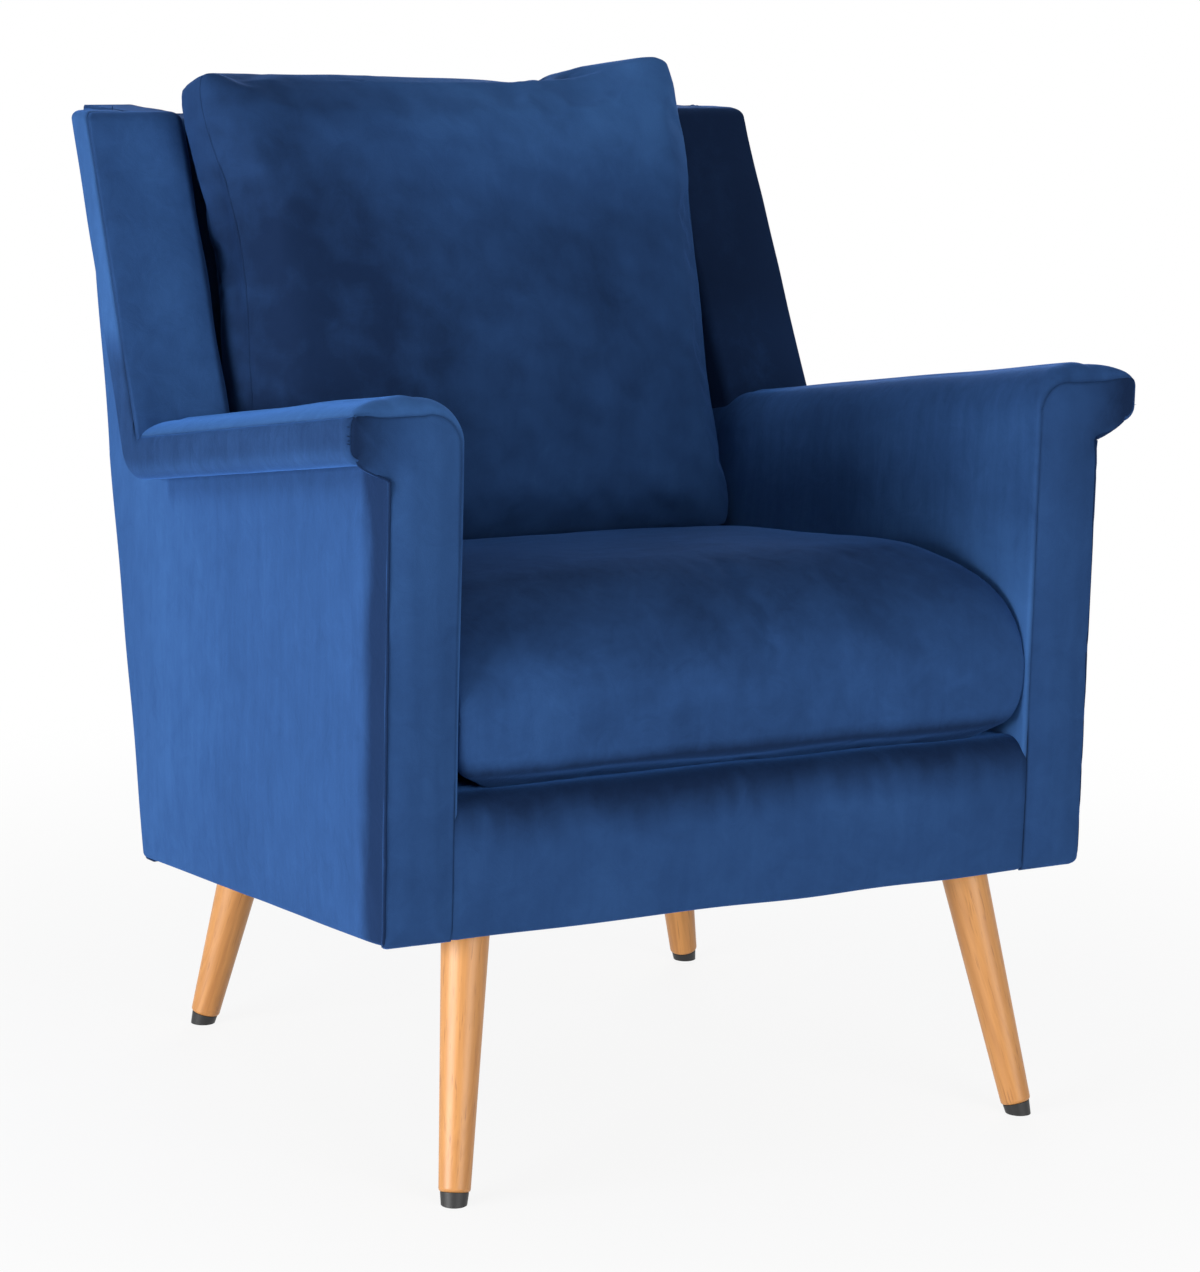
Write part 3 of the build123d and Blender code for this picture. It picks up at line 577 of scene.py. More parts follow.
def wingCover(side, seed):
    # level sections up the wing: corner from the band's seam, front face, inner round, inner face to the rear edge
    q, r = wingShape["innerRound"], bandShape["wingRound"][0]
    turn = turning(rollTurn, 0, 6)
    a = spots(r - flangeOut - r * np.sin(turn), r - r * np.cos(turn))
    t = steps(30)[1:]
    face = spots(r - flangeOut + (wingThick - q + flangeOut - r) * t, -wingShape["crown"] * (1 - (2 * t - 1) ** 4))
    turn = turning(0, 90, 9)[1:]
    b = spots(wingThick - q + q * np.sin(turn), q - q * np.cos(turn))
    section = np.concatenate([a, face, b])
    depth = np.concatenate([section[:, 0], wingThick + wingShape["bulge"] * np.sin(math.pi * np.minimum(t * 1.6, 1))])
    rows = []
    for z, inset in wingRows(rootZ - 0.032, 46):
        y = wingY(z, inset + section[:, 1])
        y = np.concatenate([y, y[-1] + (rearY(z, 0.003) - y[-1]) * t])
        rows.append(spots(outerX(y) - drawnIn(depth, inset), y, z))
    p = np.array(rows + capRows(rows[-1], rearY(wingTop, 0.003)))
    y, z = p[..., 1], p[..., 2]
    inner = spots(outerX(y) - 0.02, np.maximum(y, wingY(z, 0.03)), np.minimum(z, wingTop - 0.03))
    seam = seamMark(edgeDistance(p, "v0"), 0.0025)
    swell = 0.0008 * waves(p, seed, 0.08) * smoothStep(edgeDistance(p, "u1"), 0.03, 0.06)
    p = fallBack(swollen(p, inner, swell, seam, seamSink))
    corner = len(a) + len(face)
    # painted shade, carried in the seam mark: the inner round and inner face, and the right wing above the arm
    shade = np.maximum(0.6 * smoothStep(np.arange(p.shape[1]), corner, corner + 7),
                       0.62 * (side > 0) * smoothStep(p[..., 2], 0.60, 0.66))
    return [mirrored(p, side)], [np.maximum(0.5 * seam, shade)]


outsideShape = {"frontRound": 0.014, "seamIn": {1: 0.0010, -1: -0.0014}, "seamBack": 0.0012, "rearRound": 0.005,
                "bottomRound": 0.006, "swell": {1: 0.0022, -1: 0.0050}, "tuck": 0.020, "topIn": 0.011, "topHigh": 0.005,
                "hidden": 0.009, "webDeep": 0.024}
panelShape = {"bulge": 0.0028, "nookWide": 0.0285, "nookHigh": 0.0135, "nookPower": 0.62, "corner": 0.006}
seamY = frontY + outsideShape["seamBack"]
nookWide, nookHigh = panelShape["nookWide"], panelShape["nookHigh"]


def rollUnder(d, inSide):  # drop of the roll's underside and lower round at a depth in
    low = bandShape["armRound"][2]
    over = np.clip(-d - flangeOut + low, 0, low - inSide)
    return flangeHigh - low + np.sqrt((low - inSide) ** 2 - over ** 2)


def nookDrop(start, high, down):  # drop along the small nook between the roll's underside and the stem
    return start + (flangeHigh + high - start) * down ** panelShape["nookPower"]


def footIn(z):  # how far the front seam draws in round the bottom corner
    r = panelShape["corner"]
    down = np.clip(bottomZ(frontY) - 0.001 + r - z, 0, r)
    return r - np.sqrt(r * r - down * down)


def outsideCover(side, seed):
    # flat panel from the front seam to the back edge, up to the middle of the band, and on up behind the wing's band
    look = outsideShape
    rf, rr, rb, seamIn = look["frontRound"], look["rearRound"], look["bottomRound"], look["seamIn"][side]
    midIn, midDrop = flangeDeep * 0.5, flangeHigh * 0.5
    midY, midZ = wingMeetsArm(midDrop, midIn)
    cols, frontCols = steps(31), 70

    def columns(yWing, yRear):
        before = frontY + rf + (yWing - frontY - rf) * steps(frontCols + 1)[:-1]
        return np.concatenate([before, yWing + (yRear - yWing) * cols])

    def pulled(grid):  # swollen between its edges, with faint waves and gathers by the front seam
        y, z = grid[..., 0], grid[..., 1]
        p = spots(outerX(y), y, z)
        away = np.minimum.reduce([(y - frontY) / 0.05, (rearY(z) - y) / 0.10, (z - bottomZ(y)) / 0.10])
        lift = look["swell"][side] * smoothStep(np.clip(away, 0, 1), 0, 1) + 0.0009 * waves(p, seed, 0.16)
        lift = lift + 0.0004 * waves(p * np.array([1, 1, 0.25]), seed + 5, 0.05) * np.clip(away, 0.2, 1)
        gather = waves(p * np.array([0, 0, 1]), seed + 7, 0.05)
        p[..., 0] += lift + 0.0006 * gather * bell(y - frontY - 0.014, 0.016)
        return p

    def wrapped(p):  # carried round the rear edge
        return np.concatenate([p, rounded(p[:, -1], (-rr, 0, 0), (0, rr, 0), turning(0, 80, 8)[1:], 1)], 1)

    yLow, yTop = columns(midY - 0.02, rearY(bottomZ(0.2), rr)), columns(midY, rearY(midZ - 0.02, rr))
    low, high = spots(yLow, bottomZ(yLow) + rb), spots(yTop, armZ(yTop, midDrop))
    lower = low + (high - low) * steps(64)[:, None, None]
    base = lower[-1, frontCols:]
    t = steps(40)[:, None]
    z = base[:, 1] + (wingTop - 0.006 - base[:, 1]) * t
    y0, y1 = wingY(z[:, :1], midIn), rearY(z[:, -1:], rr)
    ease = smoothStep(t, 0, 0.08)[..., None]
    upper = base * (1 - ease) + spots(y0 + (y1 - y0) * cols, z) * ease
    lower, upper = pulled(lower), pulled(upper)
    # front edge turned in to the seam, and hidden behind the front panel above the knot
    edge = lower[:, :1]
    x, z = edge[..., 0], edge[..., 2]
    knotZ = armZ(frontY, flangeHigh) - nookHigh
    hidden = look["hidden"] * smoothStep(z, knotZ - 0.001, knotZ + 0.006)
    sewn = spots(outerX(frontY) - seamIn - footIn(z), seamY + hidden, z)
    bend = spots(x - 0.0008, sewn[..., 1], z)
    t = steps(11)[:-1, None]
    lower = wrapped(np.concatenate([sewn * (1 - t) ** 2 + bend * 2 * t * (1 - t) + edge * t * t, lower], 1))
    under = rounded(lower[0], (-rb, 0, 0), (0, 0, -rb), turning(90, 0, 7)[:-1])
    tucked = under[:1] - np.array([look["tuck"], 0, -0.004])
    lower = np.concatenate([tucked, under, lower])
    behind, above = lower[..., 1] - frontY, lower[..., 2] - bottomZ(frontY)
    fold = np.exp(-np.clip(behind, 0, 1) / 0.008 - np.clip(above, 0, 1) / 0.004)
    lower = lower + fold[..., None] * np.array([0, 0.006, 0.003])
    upper = wrapped(upper)
    over = rounded(upper[-1], (-look["topIn"], 0, 0), (0, 0, look["topHigh"]), turning(0, 90, 7)[1:])
    upper = fallBack(np.concatenate([upper, over]) - np.array([0, 0, 0.0006]))
    rearSeam = [0.7 * seamMark(edgeDistance(g, "v1"), 0.003) for g in (lower, upper)]
    lowerSeam = np.maximum(0.4 * seamMark(edgeDistance(lower, "v0"), 0.0016), rearSeam[0])
    # small web of cloth under the roll, wide at the knot and dying out behind it
    y = (seamY + look["webDeep"] * steps(18) ** 1.4)[:, None]
    go = smoothStep(y, frontY, frontY + 0.022)
    wide, high, inStem = (a + (0.004 - a) * go for a in (nookWide, nookHigh, seamIn))
    down = steps(14)
    d = inStem - wide * (1 - down)
    inSide = sideRound * 0.658 * (1 - smoothStep(y, frontY, frontY + 0.006))
    web = spots(outerX(y) - d, y, armZ(y, nookDrop(rollUnder(d[:, :1], inSide), high, down) - 0.0008 * go))
    grids = [mirrored(g, side) for g in (lower, upper, web)]
    # the web under the roll is painted faintly darker, as shade
    return grids, [0.8 * lowerSeam, rearSeam[1], np.full(web.shape[:2], 0.05)]


def frontPanel(side, seed):
    # arm front: upright lines from its lower to its upper outline over the roll and stem, and the stem below
    back, draw = (1 - f(math.radians(seamTurn)) for f in (math.sin, math.cos))
    innerEdge, topRound = armShape["innerEdge"], armShape["topRound"]
    inStem, low = outsideShape["seamIn"][side], bottomZ(frontY) - 0.001
    we = bandSection(bandShape["armRound"], flangeHigh, sideRound * draw)[:28]
    roll = spots(-we[:, 1], armZ(frontY, we[:, 0]))
    arm = armProfile(draw)
    arm[:, 1] = armZ(frontY, arm[:, 1])
    upper = np.concatenate([roll[:7][::-1], arm[1:]])
    knotZ = armZ(frontY, flangeHigh) - nookHigh
    down = steps(14)
    start = rollUnder(inStem - nookWide, sideRound * draw)
    nook = spots(inStem - nookWide * (1 - down), armZ(frontY, nookDrop(start, nookHigh, down)))
    roll = roll[roll[:, 0] < inStem - nookWide - 0.0002][6:]
    lower = np.concatenate([roll, nook])
    d0, d1 = upper[0, 0], sideThick - innerEdge * draw
    count = 40  # columns over the roll, and again over the stem
    quarter = steps(count) * math.pi / 2
    d = np.concatenate([d0 + (inStem - d0) * (1 - np.cos(quarter)), inStem + (d1 - inStem) * np.sin(quarter[1:])])
    zHigh, zLow = np.interp(d, *upper.T), np.interp(d, *lower.T)
    zLow[count - 1:] = knotZ
    rows = 0.5 - 0.5 * np.cos(steps(count) * math.pi)
    head = spots(d[:, None], zLow[:, None] + (zHigh - zLow)[:, None] * rows)
    stem = spots(d[count - 1:, None], low + (knotZ - low) * steps(80) ** 1.3)
    stem[..., 0] += footIn(stem[..., 1]) * (d1 - stem[..., 0]) / (d1 - inStem)
    z = low + panelShape["corner"] * steps(8)
    outline = np.concatenate([upper, [[d1, 0.345], [d1, 0.325], [d1, low]], spots(inStem + footIn(z), z), lower[::-1]])
    # along the outline: how far back the seam lies, and how strongly it shows
    seamBack = back * np.concatenate([
        np.full(6, sideRound), np.full(len(upper) - 23, topRound), np.linspace(topRound, innerEdge, 17),
        np.full(3, innerEdge), np.full(22, outsideShape["seamBack"] / back), np.full(len(roll), sideRound)])
    strong = np.repeat([0.35, 0.95, 0.25, 0.12], [len(upper) + 1, 2, 22, len(roll)])
    closed = np.column_stack([outline, seamBack, strong])[np.arange(len(outline) + 1) % len(outline)]
    at = np.insert(np.linalg.norm(np.diff(closed[:, :2], axis=0), axis=1).cumsum(), 0, 0)
    fine = np.linspace(0, at[-1], 900)[:-1]
    ringD, ringZ, ringBack, ringStrong = (np.interp(fine, at, column) for column in closed.T)
    grids, seams = [], []
    for dz in (head, stem):
        away = np.linalg.norm(dz[..., None, :] - spots(ringD, ringZ), axis=-1)
        near, gap = away.argmin(-1), away.min(-1)
        seam = seamMark(gap, 0.0014)
        y = frontY + ringBack[near] * np.exp(-gap / 0.004) - panelShape["bulge"] * smoothStep(gap, 0, 0.022)
        p = spots(outerX(y) - dz[..., 0], y, dz[..., 1])
        knot = np.exp(-((dz[..., 0] - inStem) ** 2 + (dz[..., 1] - knotZ) ** 2) / 0.010 ** 2)
        bottom = 0.004 * np.exp(-(dz[..., 1] - low) / 0.004)
        p[..., 1] = y + 0.0006 * seam + bottom + 0.0005 * waves(p, seed, 0.10) * (1 - seam) + 0.0022 * knot
        grids.append(p)
        # the knot, where the cloth is puckered, is painted darker as shade in the pucker
        seams.append(np.clip(seam * ringStrong[near] + 0.35 * knot, 0, 1))
    under = [grids[1][:, 0] + np.array([0, go, lift - go * slope("seatTilt")])
             for go, lift in ((0, 0), (0.003, 0.003), (0.012, 0.003), (0.024, 0.003))]
    grids.append(np.stack(under, 1))
    return [mirrored(g, side) for g in grids], seams + [np.zeros(grids[2].shape[:2])]


# how each piece is painted lighter or darker, mostly as painted light and shade with some uneven tone: below 0 darker,
# above 0 lighter
def sideNapAndShade(at):  # painted shade, darker where the cloth turns in towards the front seam and under the roll, and lighter towards the back
    y, z = at[:, 1], at[:, 2]
    turn = 1 - smoothStep(y - frontY + 0.005 * waves(at * np.array([0, 1, 1]), 31, 0.10), 0.018, 0.048)
    under = bell(z - armZ(y, 0.056), 0.014) * (y < rootY)
    return 0.13 * smoothStep(y, -0.2, 0.2) - 0.04 - 0.56 * turn - 0.22 * under


def panelNapAndShade(at):  # painted shade on the roll's front, darkest beside its outer corner, and higher up on the right arm; painted light on the upper stem
    x, y, z = at.T
    d = outerX(y) - np.abs(x)
    roll = smoothStep(z, 0.575, 0.592)
    lay = 0.08 * smoothStep(z, 0.42, 0.52) - 0.15 * (x > 0) * smoothStep(z, 0.48, 0.56)
    return lay - roll * (0.16 * smoothStep(-d, -0.020, 0.015) + 0.72 * np.exp(-(d + flangeOut) / 0.016))


def armNapAndShade(at):  # painted shade: the inner face darker than the left top, least so low down, and the right top darker; the left top painted lighter where it catches the sheen
    x, y, z = at.T
    deep = smoothStep(armZ(y) - z, 0.02, 0.05) * smoothStep(outerX(y) - np.abs(x), 0.03, 0.058)
    low = 1 - smoothStep(z, 0.42, 0.53)
    return deep * (0.06 + 0.40 * low - 0.04 * smoothStep(y, -0.30, 0.05)) + (0.40 - 0.50 * (x > 0)) * (1 - deep)


def bandNapAndShade(at):  # painted sheen up along the wing's edge, seen edge-on; darker over the roll, less so towards its lower edge
    y, z = at[:, 1], at[:, 2]
    wing = smoothStep(z, 0.60, 0.64) * smoothStep(y, rootY - 0.01, rootY + 0.03)
    return 0.26 * wing - (1 - wing) * (0.30 - 0.24 * smoothStep(armZ(y) - z, 0.030, 0.046))


def wingNapAndShade(at):  # painted shade: the right wing and both inner faces dark, and the fronts a little darker towards the outer edge
    d = outerX(at[:, 1]) - np.abs(at[:, 0])
    dark = np.maximum(smoothStep(d, 0.045, 0.053), at[:, 0] > 0)
    return 0.08 - 0.16 * (1 - smoothStep(d, -0.034, 0.010)) - 0.56 * dark


def railNapAndShade(at):  # painted shadow under the seat cushion's overhang: darkest round the top edge, in uneven strokes
    stroke = 0.005 * waves(at * np.array([1, 1, 0.3]), 91, 0.05) + 0.003 * waves(at * np.array([1, 1, 0.2]), 92, 0.018)
    return 0.02 - 0.50 * smoothStep(at[:, 2] + stroke, deckZ(frontY) - 0.050, deckZ(frontY))


def seatNapAndShade(at):  # painted shade: the top darker, most towards the back, the front less dark, and dark underneath where the cushion curves under; with faint uneven tone
    y, z = at[:, 1], at[:, 2]
    top = smoothStep(z + 0.008 * waves(at, 93, 0.07) + 0.004 * waves(at, 94, 0.028), 0.390, 0.470)
    under = 1 - smoothStep(z, deckZ(y) + 0.010, deckZ(y) + 0.028)
    return -0.05 - 0.22 * top - 0.18 * smoothStep(y, -0.34, -0.22) * top - 0.6 * under + 0.03 * waves(at, 81, 0.22)


def backNapAndShade(at):  # painted highlights along the top and the right edge, lighter along the bottom, painted shade darkest on the left, in uneven strokes
    x, z = at[:, 0], at[:, 2]
    left = smoothStep(-x, 0.0, 0.2)
    lay = -0.24 + 0.46 * smoothStep(z, 0.70, 0.83) * (1 - 0.45 * left) + 0.14 * smoothStep(x, 0.08, 0.22) - 0.26 * left
    return lay + 0.035 * waves(at, 83, 0.06) + 0.03 * waves(at, 84, 0.025) + 0.18 * (1 - smoothStep(z, 0.49, 0.61))


sidePieces = (  # shape, name, finish, pile tone and painted shade, how full the padding is, and the nodes replaced
    (armCover, "ArmCover", "arm", armNapAndShade, 0.95, ("inside_arm_cover", "arm_pad")),
    (wingCover, "WingCover", "wing", wingNapAndShade, 0.95, ("wing_cover", "wing_pad")),
    (bandCover, "BorderBand", "band", bandNapAndShade, 0.95, ("border_band",)),
    (outsideCover, "OutsideCover", "side", sideNapAndShade, 0.98, ("outside_cover",)),
    (frontPanel, "ArmFrontPanel", "front", panelNapAndShade, 0.95, ("arm_front_panel",)),
)
for side, label in bothSides:
    firstSeed = 11 if side > 0 else 23
    for k, (shape, name, finish, nap, fill, nodes) in enumerate(sidePieces):
        thin = {"thickness": 0.002, "gap": 0.0008} if shape is outsideCover else {}
        makeCover(label + name, shape(side, firstSeed + k), insideSide(side), finish, nap, fill,
                  [f"{label}_{n}" for n in nodes], **thin)
print("sides made")

# front rail, deck, inside back and outside back
railShape = {"topRound": 0.022, "bottomRound": 0.006, "swell": 0.003, "tuck": 0.016, "deep": 0.09}


def across(profile, widen=0.002, count=90):
    # a side view carried from arm to arm, following their inner faces
    s = np.linspace(-1, 1, count)
    y, z = profile[:, :1], profile[:, 1:]
    return spots((sideRoom(y) + widen) * s, y, z), s


def railCover():
    # side view: tucked under, up the face, over the round of the top and back onto the deck
    rt, rb, top = railShape["topRound"], railShape["bottomRound"], deckZ(frontY)
    low, tilt = bottomZ(frontY) - 0.0008, math.radians(chair["seatTilt"])
    tuck = [[frontY + railShape["tuck"], low + 0.001]]
    turn = turning(90, 0, 8)
    under = spots(frontY + rb * (1 - np.cos(turn)), low + rb * (1 - np.sin(turn)))
    face = spots(frontY, np.linspace(low + rb, top - rt, 27)[1:])
    turn = np.linspace(0, math.pi / 2 + tilt, 14)[1:]
    over = spots(frontY + rt * (1 - np.cos(turn)), top - rt + rt * np.sin(turn))
    y = np.linspace(over[-1, 0], frontY + railShape["deep"], 10)[1:]
    deck = spots(y, over[-1, 1] - (y - over[-1, 0]) * math.tan(tilt))
    p, s = across(np.concatenate([tuck, under, face, over, deck]), widen=0.008, count=110)
    seam = seamMark(edgeDistance(p, "v0", "v1"), 0.004)
    lift = np.zeros((len(p), 1))
    first = len(tuck) + len(under)
    lift[first:first + len(face), 0] = railShape["swell"] * np.sin(np.linspace(0, math.pi, len(face)))
    swell = lift * (1 - np.abs(s) ** 8) + 0.0007 * waves(p, 41, 0.12)
    return [swollen(p, spots(p[..., 0], frontY + 0.05, low + 0.05), swell, seam, 0.0030)], [0.7 * seam]


def deckCover():
    # the deck's line from arm to arm, a little hollow in the middle
    y = np.linspace(frontY + 0.085, rearY(0.3, 0.088), 60)
    p, s = across(spots(y, deckZ(y)))
    p[..., 2] += -0.002 + 0.0012 * waves(p, 43, 0.12) - 0.003 * (1 - s ** 2)
    return [p], [np.zeros(p.shape[:2])]


backShape = {"topRound": 0.018, "swell": 0.006, "rim": 0.006, "topRim": 0.0025, "fullness": 0.0035, "tuck": 0.016}


def insideBack():
    # inner face of the back up from the deck, over its rounded top and back to the outer edge
    r = backShape["topRound"]
    z = np.linspace(0.26, backTop - r, 50)
    face = spots(rearY(z, backThick), z)
    turn = np.linspace(0, math.pi / 2 + math.radians(chair["rearRecline"]) * 0.9, 12)[1:]
    over = face[-1] + spots(r * (1 - np.cos(turn)), r * np.sin(turn))
    run = spots(np.linspace(over[-1, 0], rearY(backTop, 0.003), 12)[1:], over[-1, 1])
    p, s = across(np.concatenate([face, over, run]), widen=0.014)
    lift = np.zeros((len(p), 1))
    lift[:len(face), 0] = backShape["swell"] * np.sin(np.linspace(0, math.pi, len(face)))
    swell = lift * (1 - s ** 6) + 0.0009 * waves(p, 47, 0.1)
    inner = spots(p[..., 0], rearY(p[..., 2], 0.03), np.minimum(p[..., 2], backTop - 0.04))
    return [swollen(p, inner, swell)], [seamMark(edgeDistance(p, "u1"))]


def outsideBack():
    # outer face of the back, edge to edge, a little swollen, rounded at the rim and tucked under below
    rim, topRim = backShape["rim"], backShape["topRim"]
    half = np.concatenate([np.linspace(0, 0.80, 34), np.linspace(0.80, 0.85, 12)[1:], np.linspace(0.85, 1, 14)[1:]])
    cols, rows = np.concatenate([-half[:0:-1], half]), steps(90)[:, None]
    out = 1 - np.abs(cols)
    zBase = bottomZ(rearY(0.165)) + 0.006
    zTop = backTop + (wingTop - 0.0012 - backTop) * smoothStep(np.abs(cols), 0.826, 0.85) - topRim
    z = zBase + (zTop - zBase) * rows
    p = spots(cols * (outerX(rearY(z)) - 0.0028), rearY(z), z)
    away = smoothStep(np.clip(np.minimum(out / 0.3, np.minimum(rows, 1 - rows) / 0.2), 0, 1), 0, 1)
    p[..., 1] += (backShape["fullness"] + 0.0008 * waves(p, 53, 0.15)) * away - 0.0006 * bell(out, 0.012)
    turns = turning(90, 0, 7)[:-1]
    low = rounded(p[0], (0, -rim, 0), (0, 0, -rim), turns)
    high = rounded(p[-1], (0, -topRim, 0), (0, 0, topRim), turns[::-1])
    tucked, turned = low[:1] + np.array([0, -backShape["tuck"], 0.001]), high[-1:] + np.array([0, -0.012, -0.0040])
    p = np.concatenate([tucked, low, p, high, turned])
    return [p], [0.8 * seamMark(edgeDistance(p, "v0", "v1", "u1"), 0.003)]


makeCover("frontRailCover", railCover(), lambda p: (p[0], frontY + 0.05, 0.26), "front", railNapAndShade, 0.95,
          ["front_rail_cover", "front_rail_pad"])
makeCover("deckCover", deckCover(), lambda p: (p[0], p[1], p[2] - 0.05), "back", None, 0.9, ["deck_cover", "deck_pad"])
makeCover("insideBackCover", insideBack(), lambda p: (p[0], rearY(p[2], 0.03), min(p[2], 0.76)), "back", None, 0.9,
          ["inside_back_cover", "back_pad"])
makeCover("outsideBackCover", outsideBack(), lambda p: (p[0], p[1] - 0.05, p[2]), "back", None, 0.98,
          ["outside_back_cover"], thickness=0.002)

dustShape = {"thick": 0.001, "lift": 0.0045, "sag": 0.0024, "edge": 0.004, "slack": 0.001}


def plateBoxes():
    # the four leg plates lie in one node, so its points are sorted by quarter
    points = pointsOf(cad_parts["leg_plates"].data)
    quarter = np.sign(points - points.mean(0))[:, :2]
    corners = [(sx, sy) for sx in (-1, 1) for sy in (-1, 1)]
    parts = [points[(quarter == corner).all(1)] for corner in corners]
    return [(part.min(0), part.max(0)) for part in parts]


def clothUnder():
    # black cloth under the seat frame, cut out round the leg plates, sagging a little between its staples
    low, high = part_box("dust_cover")
    y = np.linspace(low[1], high[1], 112)
    half = outerX(y) - dustShape["edge"]
    x = np.clip(np.linspace(low[0], high[0], 132)[:, None], -half, half)
    sag = (1 - (x / half) ** 4) * np.sin(math.pi * np.clip((y - y[0]) / (y[-1] - y[0]), 0, 1))
    p = spots(x, y, bottomZ(y) + dustShape["lift"] - dustShape["sag"] * sag)
    faces, points = gridFaces(*p.shape[:2]), p.reshape(-1, 3)
    at = points[faces].mean(1)[:, :2]
    slack = dustShape["slack"]
    cut = [((at > lo[:2] - slack) & (at < hi[:2] + slack)).all(1) for lo, hi in plateBoxes()]
    return points, faces[~np.any(cut, axis=0)]


cloth = meshFrom("dustCloth", *clothUnder())
bm = bmesh.new()
bm.from_mesh(cloth.data)
bmesh.ops.delete(bm, geom=[v for v in bm.verts if not v.link_faces], context="VERTS")
bmesh.ops.remove_doubles(bm, verts=bm.verts, dist=0.0002)
bmesh.ops.recalc_face_normals(bm, faces=bm.faces)
if sum(f.normal.z * f.calc_area() for f in bm.faces) > 0:
    bmesh.ops.reverse_faces(bm, faces=bm.faces)
clothArea = sum(f.calc_area() for f in bm.faces)
bm.to_mesh(cloth.data)
bm.free()
thicken(cloth, dustShape["thick"])
dress(cloth, "dust", ["dust_cover"])
print("rail, deck and back made")


# loose cushions
def rise(distance, reach, power):
    # quarter of a squared-off ellipse: 0 at the edge, 1 from the reach inwards
    t = np.clip(distance / reach, 0, 1)
    return (1 - (1 - t) ** power) ** (1 / power)


def cushionAxes(look):  # directions along and up from the cushion's own base, as (y, z) pairs
    turn = math.radians(look["turn"])
    if look["stands"]:
        return (math.sin(turn), math.cos(turn)), (-math.cos(turn), math.sin(turn))
    return (math.cos(turn), -math.sin(turn)), (math.sin(turn), math.cos(turn))


def cushionSpot(look, s, v, w):
    # a point across, along and up from the cushion's own base
    (vy, vz), (wy, wz) = cushionAxes(look)
    y0, z0 = look["start"]
    return spots(s, y0 + v * vy + w * wy, z0 + v * vz + w * wz)


def crownAt(look, p, q):  # the dome over a cushion's face, from shares across and along
    return look["crown"] * (1 - np.abs(p) ** look["across"]) * (1 - np.abs(q) ** 2.6)


def cushionForm(look, shrink, count=120):
    # two sheets that meet along the widest edge: each rises from it by a rounded edge, and the upper one has a crown
    u = np.sin(np.linspace(-1, 1, count) * math.pi / 2)
    p, q = np.meshgrid(u, u, indexing="ij")
    v0, v1 = look["span"][0] + shrink, look["span"][1] - shrink
    half = (v1 - v0) / 2
    corner = look["cut"] * np.abs(p * q) ** 9
    v = (v0 + v1) / 2 + half * q * (1 - corner / half)
    v = v + (1 - p ** 2) * (look["bowNear"] * smoothStep(-q, 0.3, 1) - look["bowFar"] * smoothStep(q, 0.3, 1))
    room = sideRoom(cushionSpot(look, 0, v, look["edge"])[..., 1]) - look["gap"] - shrink
    s = room * p * (1 - corner / room)
    for height, place, wide in look["ears"]:
        v = v + height * bell(p - place, wide) * smoothStep(q, 0.5, 1) ** 2
    s = s + np.minimum(p, 0) * look["leftOut"] * smoothStep(q, 0, 1) ** 1.5
    s = s - np.maximum(p, 0) * look["rightIn"] * smoothStep(q, 0.5, 1) + p * look["nearOut"] * smoothStep(-q, 0.7, 1)
    dSide, dNear, dFar = room * (1 - np.abs(p)), half * (1 + q), half * (1 - q)
    top = rise(dSide, look["sideReach"], 2.3) * rise(dNear, look["nearReach"], look["nearPower"]) \
        * rise(dFar, look["farReach"], 2.3)
    low = np.prod([rise(d, look["lowReach"], 3.2) for d in (dSide, dNear, dFar)], axis=0)
    edge = look["edge"]
    wTop = edge + (look["box"] - shrink - edge) * top + crownAt(look, p, q) * top
    return [cushionSpot(look, s, v, w) for w in (wTop, edge + (shrink + 0.001 - edge) * low)]


def deckMeetsBack(lift, inset):  # where the deck, raised, crosses the rear line moved forward
    z0, k = deckZ(0) + lift / flat("seatTilt"), slope("seatTilt")
    c, m = rearY(0, inset), slope("rearRecline")
    y = (c + m * z0) / (1 + m * k)
    return y, z0 - k * y


seatShape = {
    "start": (frontY, chair["deckFront"] + 0.0006), "turn": chair["seatTilt"], "stands": False,
    "span": (-0.016, (deckMeetsBack(0, backThick)[0] - frontY) / flat("seatTilt") - 0.005),
    "gap": -0.005, "edge": 0.058, "box": 0.148, "crown": 0.022, "across": 5.0, "cut": 0.003,
    "ears": (), "leftOut": 0.0, "rightIn": 0.0, "nearOut": 0.008, "bowNear": -0.004, "bowFar": 0.0,
    "sideReach": 0.018, "nearReach": 0.110, "nearPower": 2.2, "farReach": 0.035, "lowReach": 0.026,
    "voxel": 0.0064, "pressure": 3.0, "cap": 0.009,
}
touchY, touchZ = deckMeetsBack(0.1752, backThick + 0.0986)
backDeep = 0.098  # from the cushion's lowest point back to the inside back
backShapeLoose = {
    "start": (touchY + backDeep * flat("rearRecline"), touchZ - backDeep * steep("rearRecline")),
    "turn": chair["rearRecline"], "stands": True, "span": (-0.026, 0.424),
    "gap": -0.004, "edge": 0.092, "box": 0.104, "crown": 0.040, "across": 2.2, "cut": 0.008,
    "ears": ((0.004, -1.0, 0.10), (0.015, 0.93, 0.34)), "leftOut": 0.024, "rightIn": 0.009, "nearOut": 0.0,
    "bowNear": 0.0, "bowFar": 0.004,
    "sideReach": 0.030, "nearReach": 0.036, "nearPower": 2.3, "farReach": 0.034, "lowReach": 0.022,
    "voxel": 0.006, "pressure": 3.0, "cap": 0.012,
}
blowFrames = 20


